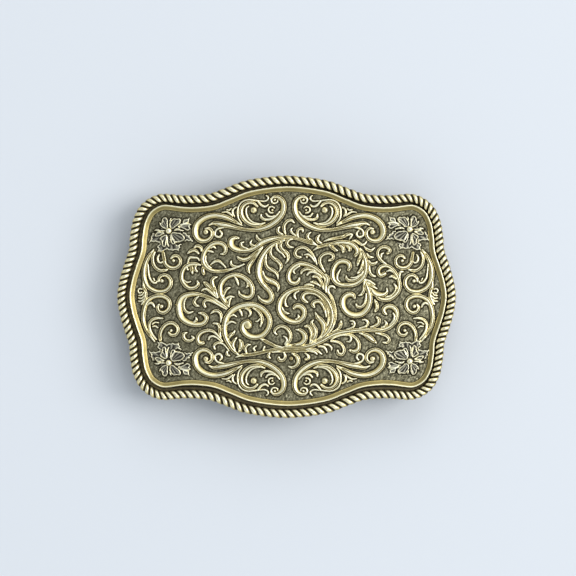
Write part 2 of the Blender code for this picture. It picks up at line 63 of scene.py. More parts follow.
# The plate is crowned about Y: flat in the middle, then bent back on a large radius.
FLAT_HALF_WIDTH = 6.0
CROWN_RADIUS = 400.0

# Heights above the floor, where the crown is flat: the plate's back and the ground of the ornament.
BACK_Z = 8.4
FLANGE_THICK = 1.0
GROUND_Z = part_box("face_plate")[1].z / MM
FLANGE_INSET = 0.3
CORE_INSET = 3.2
SOLDER_GAP = 0.12

# The core, the rail and the side scrolls mirror about one centre, the rest of the ornament about another.
RAIL_CENTRE = (0.4, 0.2)
ORNAMENT_CENTRE = (0.75, 0.4)
QUADRANTS = {"ul": (-1, 1), "ur": (1, 1), "ll": (-1, -1), "lr": (1, -1)}

# Relief grids share one origin, so that every piece and the ground can be compared point by point.
CELL = 0.1
GRID_X = -50.0
GRID_Y = -36.0
GRID_COLUMNS = 1001
GRID_ROWS = 721

# Farther than any distance or depth that counts.
FAR = 9.0


# Strokes are lists of (x, y, width). These are drawn upper left and mirrored to the other quadrants.
BORDER_MOTIFS = {
    "border_scroll": [
        [(-12.6, 20.2, 0.3), (-14.5, 21.2, 0.9), (-17.0, 22.4, 1.4), (-20.4, 23.0, 1.5),
         (-23.2, 22.3, 1.6), (-25.2, 20.6, 1.7), (-25.8, 18.6, 1.7), (-25.4, 16.9, 1.5),
         (-24.2, 15.9, 1.3), (-22.6, 15.9, 1.1), (-21.3, 16.9, 1.0), (-21.1, 18.4, 0.9),
         (-21.9, 19.3, 0.8), (-22.9, 19.2, 0.6)],
        [(-22.8, 18.3, 1.5)],
        [(-14.3, 25.3, 0.4), (-15.1, 24.6, 0.6), (-15.2, 23.5, 0.6), (-14.7, 22.8, 0.4)],
        [(-16.9, 24.6, 0.4), (-16.2, 24.5, 0.5), (-15.7, 24.9, 0.4)],
        [(-18.2, 23.9, 0.3), (-17.0, 24.0, 0.5), (-16.0, 23.5, 0.6), (-15.3, 22.9, 0.4)],
    ],
    "border_stem": [
        [(-21.9, 20.3, 0.4), (-20.5, 20.8, 0.9), (-18.5, 20.4, 1.5), (-16.5, 20.1, 1.4),
         (-14.5, 19.6, 1.1), (-12.2, 19.1, 0.9), (-9.8, 18.9, 1.0), (-7.2, 19.2, 1.3), (-4.8, 20.1, 1.5),
         (-2.7, 21.6, 1.6), (-1.3, 23.4, 1.6), (-0.8, 25.3, 1.5), (-1.1, 27.0, 1.4), (-2.2, 28.1, 1.1),
         (-3.4, 28.3, 0.8), (-4.3, 27.6, 0.6), (-4.1, 26.7, 0.5), (-3.3, 26.4, 0.45), (-2.6, 26.7, 0.4),
         (-2.5, 27.3, 0.3)],
        [(-3.3, 27.4, 0.75)],
        [(-17.8, 19.7, 0.7), (-19.4, 19.2, 0.6), (-20.1, 18.4, 0.6), (-20.1, 17.4, 0.6),
         (-19.3, 16.9, 0.65), (-18.5, 17.2, 0.65), (-18.3, 18.0, 0.6), (-18.8, 18.6, 0.5)],
        [(-7.2, 23.2, 0.5), (-7.0, 22.3, 0.8), (-5.9, 21.8, 0.7), (-4.3, 22.0, 0.7), (-2.9, 22.9, 0.6),
         (-2.0, 24.0, 0.5)],
        [(-5.8, 23.5, 0.5), (-5.2, 22.8, 0.6), (-4.2, 22.6, 0.5), (-3.4, 22.9, 0.3)],
        [(-3.4, 25.1, 0.3), (-4.1, 25.5, 0.4), (-4.9, 25.2, 0.45), (-5.1, 24.4, 0.5), (-4.6, 23.8, 0.5),
         (-3.9, 23.7, 0.4)],
        [(-4.0, 24.5, 0.6)],
    ],
    "border_curl": [
        [(-6.2, 20.9, 0.4), (-8.0, 20.3, 0.9), (-10.0, 20.5, 1.1), (-11.6, 21.5, 1.2), (-12.6, 23.0, 1.2),
         (-12.7, 24.6, 1.1), (-12.0, 25.9, 1.0), (-10.7, 26.6, 0.9), (-9.3, 26.4, 0.8), (-8.3, 25.6, 0.7)],
        [(-9.3, 24.5, 1.8)],
        [(-6.8, 20.6, 0.3), (-9.2, 20.9, 0.5), (-10.7, 22.0, 0.6), (-11.4, 23.6, 0.6), (-11.3, 25.0, 0.5),
         (-10.7, 25.6, 0.3)],
        [(-12.7, 20.8, 0.3), (-13.6, 22.2, 0.5), (-13.8, 24.0, 0.55), (-13.5, 25.6, 0.5),
         (-12.6, 26.8, 0.5), (-11.0, 27.4, 0.5), (-9.3, 27.3, 0.5), (-7.8, 27.1, 0.4)],
        [(-8.0, 26.9, 0.6), (-7.0, 25.8, 0.7), (-6.0, 25.5, 0.6), (-5.2, 26.0, 0.4)],
        [(-7.4, 27.1, 0.4), (-6.3, 27.0, 0.5), (-5.4, 27.4, 0.5), (-5.2, 28.1, 0.5), (-5.7, 28.6, 0.4)],
    ],
}

# Side scrolls, drawn left and mirrored to the right. The lower ones differ from the upper ones.
SIDE_UPPER = {
    "side_scroll": [
        [(-37.6, 13.3, 0.4), (-38.9, 11.5, 1.0), (-39.9, 9.3, 1.3), (-40.3, 7.0, 1.4), (-40.1, 4.9, 1.3),
         (-39.2, 3.0, 1.2), (-37.7, 1.9, 1.1), (-36.0, 1.45, 1.1), (-34.1, 1.8, 1.1), (-32.9, 3.1, 1.1),
         (-32.8, 4.7, 1.1), (-33.7, 5.9, 1.0), (-35.0, 6.1, 0.9), (-36.0, 5.3, 0.8), (-36.1, 4.4, 0.6)],
        [(-35.2, 4.5, 1.1)],
        [(-39.2, 9.2, 0.4), (-39.0, 7.0, 0.5), (-38.7, 5.4, 0.6), (-37.9, 4.2, 0.6), (-37.0, 3.9, 0.6),
         (-36.6, 4.4, 0.4)],
        [(-37.6, 5.2, 0.4), (-37.3, 4.6, 0.4)],
        [(-40.5, 4.6, 0.4), (-40.4, 3.0, 0.7), (-39.9, 1.5, 0.9), (-39.8, 0.2, 0.9), (-40.2, -1.0, 0.8),
         (-41.0, -2.1, 0.5)],
        [(-40.9, 2.2, 0.4), (-41.6, 2.3, 0.5), (-42.0, 1.7, 0.5), (-41.6, 1.1, 0.5), (-41.0, 1.3, 0.4)],
        [(-40.4, 1.2, 0.4), (-41.0, 0.5, 0.5), (-41.8, 0.4, 0.4)],
        [(-40.2, 0.3, 0.5), (-41.0, -0.4, 0.5), (-41.9, -0.3, 0.35)],
        [(-40.3, -0.6, 0.5), (-41.1, -1.2, 0.5), (-41.9, -1.2, 0.35)],
    ],
    "side_curl": [
        [(-34.9, 12.4, 0.8), (-34.6, 10.8, 0.9), (-34.2, 9.3, 1.0), (-33.0, 8.3, 1.05), (-31.5, 8.2, 1.0),
         (-30.3, 9.0, 0.95), (-30.0, 10.3, 0.9), (-30.7, 11.4, 0.85), (-31.8, 11.6, 0.8),
         (-32.6, 10.9, 0.6)],
        [(-31.9, 10.2, 0.95)],
        [(-37.2, 12.6, 0.5), (-37.8, 11.2, 0.8), (-37.7, 9.6, 0.9), (-37.0, 8.3, 0.9), (-35.8, 7.5, 0.9),
         (-34.6, 7.5, 0.8), (-33.7, 7.7, 0.5)],
        [(-36.0, 11.9, 0.4), (-36.4, 11.0, 0.6), (-36.2, 10.0, 0.6), (-35.5, 9.6, 0.5),
         (-35.1, 9.9, 0.35)],
    ],
}
SIDE_LOWER = {
    "side_scroll": [
        [(-37.3, -12.6, 0.4), (-38.7, -10.8, 0.8), (-39.9, -8.8, 1.0), (-40.5, -6.6, 1.2),
         (-40.4, -4.4, 1.3), (-39.9, -2.4, 1.3), (-38.9, -0.8, 1.2), (-37.2, 0.1, 1.1), (-35.2, 0.2, 1.1),
         (-33.6, -0.6, 1.1), (-33.0, -2.1, 1.1), (-33.4, -3.5, 1.0), (-34.6, -4.4, 1.0),
         (-35.9, -4.2, 0.9), (-36.5, -3.1, 0.85), (-36.1, -2.2, 0.6)],
        [(-35.3, -2.7, 1.1)],
        [(-39.3, -2.2, 0.5), (-38.6, -1.7, 0.7), (-37.8, -2.0, 0.7), (-37.4, -2.8, 0.5)],
    ],
    "side_curl": [
        [(-35.7, -12.2, 0.8), (-35.7, -10.5, 0.9), (-35.1, -8.9, 1.0), (-33.9, -7.7, 1.0),
         (-32.4, -7.4, 1.0), (-31.1, -8.2, 0.95), (-30.7, -9.5, 0.9), (-31.3, -10.6, 0.85),
         (-32.5, -10.8, 0.8), (-33.3, -10.1, 0.6)],
        [(-32.6, -9.5, 0.95)],
        [(-35.1, -6.1, 0.4), (-36.6, -6.0, 0.7), (-38.0, -6.5, 0.8), (-38.8, -7.7, 0.8),
         (-38.6, -9.3, 0.7), (-37.8, -10.8, 0.6), (-36.8, -12.0, 0.4)],
        [(-36.2, -7.3, 0.3), (-37.2, -7.2, 0.4), (-37.9, -7.7, 0.5)],
        [(-36.4, -8.7, 0.4), (-37.0, -8.3, 0.5), (-37.8, -8.4, 0.4)],
    ],
}

# Free scrollwork in the middle: for each CAD node, its main stroke and then its leaves and lobes.
CENTRE_SCROLLS = {
    "vine_top": [
        [(-13.6, 16.6, 0.6), (-14.8, 16.6, 1.2), (-15.7, 15.8, 1.7), (-15.6, 14.5, 1.7),
         (-14.4, 13.5, 1.5), (-12.6, 13.1, 1.2), (-10.6, 13.2, 1.2), (-8.8, 14.0, 1.3), (-7.0, 15.3, 1.6),
         (-5.0, 16.1, 1.5), (-2.5, 16.7, 1.1), (0.0, 16.9, 1.0), (2.5, 16.6, 1.0), (4.5, 16.0, 1.0),
         (6.5, 15.3, 0.9), (8.6, 14.6, 0.4)],
        [(-12.1, 15.5, 0.3), (-12.8, 15.1, 0.7), (-12.8, 14.4, 0.9), (-12.0, 13.8, 0.9),
         (-11.0, 13.6, 0.5)],
        [(-9.8, 16.0, 0.3), (-10.2, 15.3, 0.6), (-9.9, 14.7, 0.8), (-9.1, 14.3, 0.8), (-8.2, 14.4, 0.4)],
        [(-8.5, 17.4, 0.4), (-8.3, 16.7, 0.8), (-7.8, 16.2, 0.8), (-7.0, 15.9, 0.5)],
        [(-13.9, 11.4, 0.3), (-13.3, 10.8, 0.9), (-12.2, 10.5, 1.1), (-10.9, 10.8, 1.1), (-9.6, 11.7, 1.0),
         (-8.2, 12.9, 0.8), (-6.8, 14.1, 0.4)],
        [(-10.4, 6.7, 0.3), (-10.8, 7.6, 1.0), (-10.6, 8.7, 1.3), (-9.9, 9.8, 1.1), (-8.9, 11.1, 0.8),
         (-7.9, 12.4, 0.6), (-6.8, 13.8, 0.3)],
        [(-1.9, 19.8, 0.3), (-2.5, 19.0, 0.9), (-2.2, 18.1, 0.9), (-1.2, 17.7, 0.5)],
        [(-0.3, 17.8, 0.4), (-0.7, 19.0, 0.9), (-0.6, 20.3, 0.9), (0.2, 21.3, 0.9), (1.3, 21.6, 0.8),
         (2.1, 21.0, 0.5)],
        [(1.6, 19.4, 0.3), (1.2, 18.8, 0.7), (1.6, 18.0, 0.7), (2.6, 17.3, 0.5)],
        [(3.3, 16.9, 0.4), (3.0, 18.0, 0.8), (3.4, 19.0, 0.8), (4.3, 19.2, 0.8), (4.6, 18.5, 0.6)],
        [(6.8, 18.2, 0.3), (6.0, 17.5, 0.9), (6.0, 16.6, 1.0), (6.8, 15.9, 0.9), (8.3, 14.8, 0.4)],
        [(9.4, 17.5, 0.3), (8.7, 16.7, 1.0), (8.9, 15.7, 1.0), (9.8, 15.2, 0.4)],
    ],
    "frond_left": [
        [(-0.6, 16.0, 0.6), (-2.6, 15.3, 1.0), (-4.4, 14.3, 1.2), (-6.0, 12.6, 1.4), (-7.2, 10.5, 1.6),
         (-7.8, 8.3, 1.8), (-7.8, 6.2, 1.7), (-7.2, 4.5, 1.5), (-6.1, 3.0, 1.4), (-5.0, 1.9, 1.4),
         (-4.3, 0.6, 1.4), (-4.3, -0.6, 1.4), (-5.1, -1.4, 1.4), (-6.3, -1.3, 1.2), (-7.4, -0.7, 0.9),
         (-8.0, 0.2, 0.4)],
        [(-1.6, 15.4, 0.9), (-1.7, 14.2, 0.9), (-1.0, 13.2, 1.0), (0.0, 12.4, 1.1), (0.5, 11.3, 0.9),
         (0.2, 10.2, 0.6), (-0.3, 9.5, 0.3)],
        [(-2.9, 15.0, 0.7), (-2.8, 13.8, 0.7), (-2.1, 12.9, 0.6), (-1.2, 12.2, 0.5), (-0.5, 11.2, 0.4)],
        [(-4.2, 14.2, 0.7), (-4.6, 13.0, 0.8), (-4.4, 11.8, 0.9), (-3.6, 10.9, 1.0), (-2.5, 10.1, 1.0),
         (-1.7, 9.0, 1.0), (-1.7, 8.0, 0.7), (-2.1, 7.2, 0.3)],
        [(-5.8, 11.8, 0.6), (-6.0, 10.3, 0.8), (-5.8, 9.0, 0.9), (-5.0, 8.0, 1.1), (-3.9, 7.5, 1.1),
         (-2.9, 6.7, 0.9), (-2.5, 5.8, 0.6), (-2.4, 5.1, 0.3)],
        [(-6.7, 7.2, 0.5), (-6.4, 5.9, 0.9), (-5.4, 4.9, 1.4), (-4.1, 4.4, 1.5), (-2.9, 3.7, 1.2),
         (-2.3, 2.7, 0.8), (-2.5, 1.6, 0.3)],
        [(1.8, 16.3, 0.3), (0.6, 16.1, 0.9), (0.1, 15.1, 0.9), (0.7, 14.2, 0.8), (1.8, 14.0, 0.4)],
    ],
    "curl_left": [
        [(-18.6, 12.1, 0.4), (-17.6, 12.3, 0.9), (-17.2, 13.4, 1.1), (-17.7, 14.6, 1.2),
         (-19.0, 15.2, 1.2), (-20.7, 15.0, 1.2), (-22.2, 13.9, 1.2), (-23.3, 12.2, 1.2),
         (-23.6, 10.3, 1.2), (-22.9, 8.7, 1.2), (-21.5, 7.6, 1.1), (-19.7, 7.2, 1.0), (-17.8, 7.3, 0.9),
         (-16.0, 7.7, 0.7), (-14.0, 8.4, 0.5), (-12.0, 9.3, 0.3)],
        [(-22.8, 11.6, 0.3), (-22.9, 10.2, 0.6), (-22.3, 8.9, 0.7), (-21.3, 8.2, 0.3)],
        [(-21.4, 9.1, 0.4), (-20.4, 9.9, 0.7), (-19.2, 10.1, 0.8), (-18.1, 9.3, 0.6), (-17.2, 8.3, 0.4)],
        [(-22.2, 13.0, 0.5), (-21.2, 12.8, 0.6), (-20.7, 12.6, 0.3)],
        [(-21.4, 13.9, 0.5), (-20.6, 14.2, 0.6), (-20.0, 13.7, 0.3)],
        [(-15.6, 10.2, 0.3), (-15.7, 9.4, 0.7), (-15.0, 8.7, 0.8), (-13.9, 8.5, 0.7), (-12.9, 8.8, 0.5),
         (-12.0, 9.2, 0.3)],
        [(-23.6, 8.2, 0.8), (-23.6, 7.3, 1.0), (-23.4, 6.5, 0.8)],
    ],
    "volute_left": [
        [(-25.2, 4.5, 0.4), (-25.0, 3.5, 0.9), (-26.0, 2.6, 1.0), (-27.5, 2.5, 1.0), (-28.8, 3.5, 1.1),
         (-29.6, 5.0, 1.1), (-29.5, 6.8, 1.1), (-28.7, 8.3, 1.1), (-27.4, 9.1, 1.2), (-25.8, 9.3, 1.0),
         (-24.3, 9.0, 0.4)],
        [(-28.3, 8.6, 0.5), (-27.9, 7.7, 0.6)],
        [(-27.0, 8.8, 0.8), (-26.8, 7.6, 0.9), (-26.6, 6.6, 0.5)],
        [(-25.6, 9.0, 0.7), (-25.9, 7.9, 0.9), (-25.3, 7.2, 0.6)],
        [(-29.0, 4.7, 0.4), (-28.1, 4.1, 0.5), (-27.2, 4.3, 0.4)],
        [(-28.0, 9.5, 0.3), (-27.7, 10.4, 0.5), (-27.3, 11.1, 0.7), (-26.3, 11.1, 0.6), (-25.2, 11.0, 0.5),
         (-24.7, 10.3, 0.4)],
        [(-27.9, 12.3, 0.4), (-27.0, 13.0, 0.9), (-25.8, 13.1, 0.9), (-24.9, 12.3, 0.6)],
        [(-26.0, 14.0, 0.5), (-25.2, 14.4, 0.9), (-24.3, 14.0, 0.9), (-24.0, 13.0, 0.5)],
    ],
    "ring_left": [
        [(-13.5, 1.6, 0.4), (-13.2, 0.7, 0.8), (-12.2, 0.1, 1.1), (-11.0, -0.2, 1.2), (-9.9, 0.4, 1.2),
         (-9.6, 1.8, 1.2), (-10.0, 3.4, 1.3), (-11.2, 4.9, 1.3), (-12.9, 5.9, 1.2), (-14.8, 6.2, 1.2),
         (-16.7, 5.6, 1.2), (-18.1, 4.3, 1.3), (-18.7, 2.6, 1.3), (-18.5, 0.8, 1.4), (-17.8, -0.7, 1.3),
         (-16.9, -1.9, 0.9), (-16.2, -2.8, 0.3)],
        [(-14.7, 5.8, 0.5), (-14.2, 5.0, 0.7), (-13.8, 4.1, 0.7), (-13.6, 3.3, 0.3)],
        [(-12.2, 5.3, 0.5), (-11.2, 4.5, 0.8), (-10.8, 3.5, 0.9), (-11.4, 2.6, 0.3)],
        [(-17.9, 0.2, 0.6), (-17.5, 1.3, 0.9), (-16.9, 2.2, 0.9), (-16.0, 2.6, 0.4)],
        [(-17.4, -0.8, 0.5), (-16.6, -0.2, 0.7), (-15.7, 0.1, 0.6), (-14.8, -0.1, 0.3)],
        [(-16.3, -2.8, 0.3), (-16.3, -1.8, 0.8), (-16.1, -0.9, 0.7), (-15.6, -0.3, 0.3)],
        [(-19.6, 5.6, 0.3), (-20.5, 5.3, 0.9), (-21.0, 4.5, 1.1), (-20.8, 3.3, 1.1), (-20.3, 2.2, 0.9),
         (-19.9, 1.2, 0.7), (-19.3, -0.2, 0.3)],
        [(-23.4, 4.2, 0.3), (-22.7, 3.6, 1.1), (-21.8, 2.7, 1.1), (-20.9, 1.7, 0.8), (-20.0, 0.6, 0.5),
         (-19.4, -0.2, 0.3)],
        [(-24.0, 1.7, 0.3), (-23.3, 2.2, 0.6), (-22.4, 2.1, 0.7), (-21.5, 1.4, 0.7), (-20.5, 0.5, 0.5),
         (-19.6, -0.3, 0.3)],
    ],
    "scroll_left": [
        [(-24.8, -4.5, 0.4), (-23.6, -4.8, 1.0), (-22.7, -5.7, 1.2), (-22.9, -6.9, 1.2),
         (-24.1, -7.7, 1.3), (-26.0, -7.8, 1.3), (-28.0, -7.2, 1.5), (-29.6, -5.9, 1.7),
         (-30.3, -4.0, 1.8), (-30.3, -2.0, 1.8), (-29.5, -0.4, 1.8), (-28.0, 0.5, 1.5), (-26.0, 0.8, 1.2),
         (-24.0, 0.5, 1.0), (-22.0, -0.1, 0.9), (-20.0, -1.0, 0.7), (-18.0, -2.2, 0.5),
         (-16.7, -3.2, 0.3)],
        [(-28.0, 0.2, 0.4), (-28.9, -1.2, 0.7), (-29.1, -2.7, 0.8), (-28.6, -3.9, 0.8), (-27.6, -4.5, 0.7),
         (-26.5, -4.2, 0.4)],
        [(-24.9, 0.1, 0.4), (-25.7, -0.6, 0.8), (-26.1, -1.5, 0.9), (-25.6, -2.3, 0.8),
         (-24.8, -2.6, 0.4)],
        [(-25.6, -5.8, 0.4), (-25.5, -6.6, 0.8), (-26.2, -7.2, 0.6)],
    ],
    "hook_left": [
        [(-23.0, -2.8, 0.7), (-23.4, -1.9, 0.8), (-23.0, -1.1, 0.8), (-22.0, -0.9, 0.8),
         (-20.7, -1.4, 0.7), (-19.4, -2.1, 0.6), (-18.0, -2.9, 0.5), (-17.0, -3.5, 0.3)],
    ],
    "spiral_left": [
        [(-10.3, -8.2, 1.0), (-10.9, -7.4, 1.9), (-12.0, -7.8, 1.9), (-12.3, -9.0, 1.7),
         (-11.7, -10.2, 1.6), (-10.4, -11.1, 1.5), (-8.8, -11.4, 1.4), (-7.1, -11.0, 1.4),
         (-5.7, -9.8, 1.4), (-4.9, -8.2, 1.4), (-4.8, -6.4, 1.4), (-5.6, -4.6, 1.4), (-7.1, -3.2, 1.5),
         (-9.0, -2.4, 1.6), (-11.2, -2.3, 1.7), (-13.4, -2.8, 1.7), (-15.3, -3.9, 1.7), (-16.7, -5.6, 1.6),
         (-17.4, -7.7, 1.5), (-17.5, -9.8, 1.4), (-17.0, -11.8, 1.3), (-16.0, -13.6, 1.2),
         (-14.9, -15.2, 1.0), (-13.6, -16.3, 0.5)],
        [(-10.9, -8.0, 2.3)],
        [(-16.9, -6.0, 0.8), (-15.8, -5.2, 0.8), (-14.9, -5.1, 0.6), (-14.1, -5.6, 0.3)],
        [(-13.3, -3.7, 0.7), (-12.8, -4.5, 0.7), (-12.6, -5.3, 0.4)],
        [(-11.6, -3.1, 0.7), (-10.5, -3.8, 0.8), (-10.2, -4.8, 0.7), (-10.7, -5.5, 0.4)],
        [(-9.4, -3.1, 0.6), (-8.0, -4.1, 0.9), (-7.1, -5.6, 1.0), (-7.0, -7.0, 0.8), (-7.4, -8.4, 0.4)],
        [(-7.6, -6.3, 0.5), (-8.2, -6.9, 0.5), (-8.7, -6.9, 0.3)],
        [(-17.4, -8.6, 0.5), (-16.6, -7.5, 0.7), (-15.5, -7.0, 0.6), (-14.4, -7.4, 0.4)],
        [(-16.6, -11.9, 0.7), (-15.9, -10.9, 1.1), (-15.1, -10.3, 0.8), (-14.6, -9.5, 0.3)],
        [(-14.6, -15.0, 0.5), (-15.2, -13.8, 1.1), (-14.9, -12.6, 1.0), (-14.1, -11.5, 0.4)],
        [(-13.4, -15.4, 0.5), (-12.9, -14.2, 1.3), (-12.8, -13.0, 1.2), (-13.3, -12.1, 0.5)],
        [(-11.4, -15.6, 0.6), (-11.7, -14.5, 0.9), (-11.1, -13.6, 0.8), (-10.3, -13.5, 0.4)],
        [(-9.0, -15.1, 0.6), (-9.3, -14.5, 0.6), (-8.6, -13.9, 0.4)],
        [(-6.6, -14.9, 0.4), (-6.3, -14.2, 0.6), (-6.2, -13.9, 0.3)],
        [(-21.4, -4.7, 0.3), (-20.4, -4.0, 0.8), (-19.3, -4.1, 1.0), (-18.6, -4.9, 0.9),
         (-18.5, -6.0, 0.7), (-18.6, -7.0, 0.4)],
        [(-20.7, -7.5, 0.4), (-19.9, -7.5, 0.6), (-19.1, -8.1, 0.9), (-18.9, -9.3, 0.9),
         (-18.8, -10.5, 0.7), (-18.5, -11.3, 0.3)],
        [(-7.4, -11.8, 0.3), (-6.2, -12.4, 0.9), (-4.6, -13.2, 0.9), (-3.0, -13.9, 0.8),
         (-1.0, -14.3, 0.5)],
    ],
    "curl_low_left": [
        [(-23.6, -13.0, 1.0), (-24.6, -13.0, 1.3), (-25.1, -12.0, 1.1), (-24.7, -10.7, 1.1),
         (-23.5, -9.8, 1.0), (-22.0, -9.5, 0.9), (-20.7, -9.8, 0.8), (-19.7, -10.6, 0.6),
         (-18.8, -11.6, 0.5), (-18.0, -12.6, 0.3)],
        [(-22.0, -12.0, 0.5), (-21.7, -11.3, 0.7), (-20.7, -11.1, 0.6), (-19.6, -11.6, 0.5),
         (-18.4, -12.7, 0.3)],
        [(-28.2, -10.1, 0.4), (-29.0, -10.5, 0.9), (-29.0, -11.5, 1.0), (-28.2, -12.3, 0.9),
         (-27.0, -12.3, 0.8), (-26.3, -11.6, 0.7), (-26.8, -11.1, 0.4)],
        [(-20.2, -14.7, 0.5), (-20.5, -13.9, 0.7), (-19.8, -13.1, 0.8), (-18.8, -13.0, 0.7),
         (-17.9, -13.3, 0.5), (-17.0, -14.2, 0.4), (-16.3, -15.2, 0.4)],
        [(-16.8, -15.4, 0.5), (-16.8, -16.2, 0.8), (-16.2, -16.6, 0.5)],
    ],
    "vine_bottom": [
        [(-14.3, -17.0, 0.3), (-12.6, -16.5, 0.8), (-10.3, -16.3, 0.9), (-8.0, -15.9, 0.9),
         (-5.5, -15.3, 0.9), (-3.0, -14.8, 1.0), (0.0, -14.4, 1.0), (3.0, -14.3, 1.0), (5.5, -14.0, 1.1),
         (8.0, -13.3, 1.2), (10.2, -12.3, 1.2), (12.3, -11.1, 1.2), (14.5, -10.2, 1.2), (17.0, -9.8, 1.2),
         (19.5, -9.5, 1.2), (22.0, -9.3, 1.1), (24.5, -9.4, 1.1), (27.0, -9.3, 1.1), (29.0, -8.6, 1.1),
         (30.5, -7.2, 1.1), (31.2, -5.5, 1.1), (31.0, -3.9, 1.2), (29.9, -2.8, 1.3), (28.5, -2.7, 1.3),
         (27.5, -3.4, 1.3), (27.6, -4.4, 1.0), (28.2, -4.9, 0.5)],
        [(-4.0, -15.6, 0.4), (-1.5, -15.3, 0.8), (1.5, -15.2, 0.9), (4.5, -15.1, 0.9), (6.3, -15.1, 0.8),
         (7.3, -15.5, 0.5)],
        [(5.5, -14.8, 0.5), (7.2, -14.7, 0.8), (8.7, -15.2, 0.8), (9.9, -16.2, 0.3)],
        [(6.5, -15.2, 0.5), (7.8, -15.5, 0.7), (8.6, -16.2, 0.3)],
        [(9.0, -13.9, 0.5), (10.4, -14.1, 0.7), (11.1, -14.8, 0.6), (11.4, -15.7, 0.3)],
        [(10.6, -13.4, 0.5), (11.9, -13.6, 0.6), (12.7, -14.4, 0.5), (12.6, -15.1, 0.3)],
        [(15.4, -6.8, 0.4), (15.2, -7.8, 1.0), (14.8, -8.8, 0.9), (13.8, -9.5, 0.5), (12.9, -9.9, 0.3)],
        [(18.0, -6.8, 0.4), (18.8, -6.9, 0.6), (19.2, -7.6, 0.6), (18.9, -8.4, 0.6), (18.1, -8.8, 0.4),
         (17.0, -9.1, 0.3)],
        [(18.5, -7.7, 0.5), (18.5, -7.6, 0.5)],
        [(21.4, -6.5, 0.4), (22.3, -6.5, 0.6), (22.9, -7.2, 0.8), (22.7, -8.0, 0.8), (21.8, -8.5, 0.5),
         (20.5, -8.8, 0.3)],
        [(25.4, -5.7, 0.5), (26.0, -6.4, 1.0), (25.9, -7.5, 1.0), (25.0, -8.2, 0.9), (23.8, -8.5, 0.5)],
        [(27.8, -6.8, 0.4), (28.2, -7.6, 0.8), (27.8, -8.3, 0.8), (26.8, -8.7, 0.4)],
        [(30.1, -4.6, 0.5), (30.5, -5.5, 0.7), (30.1, -6.8, 0.6), (29.2, -7.8, 0.4)],
        [(20.6, -10.2, 0.4), (22.0, -10.6, 1.0), (23.3, -11.4, 1.5), (24.4, -12.3, 1.2),
         (25.3, -13.0, 0.4)],
        [(25.2, -10.2, 0.5), (26.8, -10.5, 0.8), (28.2, -11.1, 0.9), (28.9, -12.1, 0.9),
         (28.3, -12.9, 0.8), (27.2, -12.8, 0.4)],
        [(-4.6, -17.3, 0.4), (-5.2, -16.7, 0.9), (-4.8, -15.9, 0.6)],
        [(-0.8, -15.7, 0.5), (-0.4, -16.8, 0.8), (-1.0, -17.8, 0.9), (-2.0, -17.7, 1.0),
         (-2.2, -17.0, 0.6)],
        [(1.6, -16.0, 0.5), (2.8, -16.7, 1.1), (3.3, -18.0, 1.2), (2.8, -19.3, 1.0), (1.6, -19.9, 0.8),
         (0.6, -19.6, 0.4)],
        [(1.3, -17.5, 0.9), (1.3, -17.3, 0.9)],
        [(5.2, -15.9, 0.3), (6.0, -16.5, 0.7), (6.2, -17.3, 0.8), (5.4, -17.6, 0.8)],
    ],
    "spiral_centre": [
        [(2.0, -3.2, 0.7), (2.6, -2.6, 1.3), (3.7, -2.6, 1.4), (4.7, -3.4, 1.4), (5.0, -4.6, 1.3),
         (4.6, -5.9, 1.3), (3.6, -6.8, 1.3), (2.2, -7.1, 1.3), (0.6, -6.7, 1.4), (-0.8, -5.8, 1.5),
         (-1.8, -4.4, 1.6), (-2.1, -2.8, 1.6), (-1.7, -1.1, 1.5), (-0.7, 0.4, 1.4), (0.8, 1.5, 1.3),
         (2.7, 2.2, 1.1), (4.8, 2.4, 1.1), (6.9, 2.2, 1.1), (8.9, 1.4, 1.1), (10.6, 0.1, 1.1),
         (11.9, -1.6, 1.2), (12.7, -3.5, 1.2), (13.0, -5.5, 1.3), (12.7, -7.5, 1.3), (11.9, -9.3, 1.2),
         (10.6, -11.0, 1.1), (8.8, -12.3, 0.9), (6.9, -13.4, 0.4)],
        [(5.9, -1.5, 0.5), (5.0, -1.0, 1.0), (4.5, -0.1, 1.2), (5.1, 0.9, 1.1), (6.6, 1.2, 0.9),
         (8.3, 0.8, 0.9), (9.8, -0.3, 0.9), (11.0, -2.0, 0.9), (11.8, -4.0, 0.9), (11.9, -6.0, 0.8),
         (11.5, -8.0, 0.6)],
        [(7.8, -2.9, 0.6), (7.4, -2.0, 1.2), (8.3, -1.3, 1.1), (9.5, -1.4, 1.1), (10.4, -2.6, 1.0),
         (10.9, -4.0, 0.7), (11.2, -5.6, 0.4)],
        [(11.7, 1.4, 0.7), (12.7, -0.2, 0.8), (13.4, -2.2, 0.8), (13.8, -4.4, 0.8), (13.6, -6.6, 0.8),
         (13.0, -8.6, 0.6), (12.0, -10.2, 0.3)],
        [(3.4, 1.6, 0.4), (2.5, 1.1, 0.6), (2.2, 0.2, 0.7), (2.7, -0.6, 0.3)],
        [(1.2, 1.2, 0.4), (0.0, 0.2, 0.7), (-0.5, -1.1, 0.8), (-0.2, -2.4, 0.6), (0.3, -2.7, 0.3)],
        [(-1.3, -3.0, 0.6), (-0.8, -4.1, 0.8), (0.1, -4.6, 0.7), (0.7, -4.7, 0.3)],
        [(3.3, -5.1, 0.4), (3.4, -6.0, 0.9), (2.6, -6.4, 0.6)],
    ],
    "frond_low": [
        [(8.1, -4.4, 0.3), (8.7, -5.6, 1.1), (9.8, -6.7, 1.4), (10.5, -8.0, 1.5), (10.5, -9.5, 1.2),
         (9.9, -11.0, 0.8), (8.9, -12.0, 0.4)],
        [(7.5, -6.6, 0.4), (7.0, -7.3, 0.8), (7.6, -8.3, 1.1), (8.2, -9.5, 1.2), (8.1, -10.9, 1.1),
         (7.6, -12.0, 0.9), (6.9, -13.0, 0.4)],
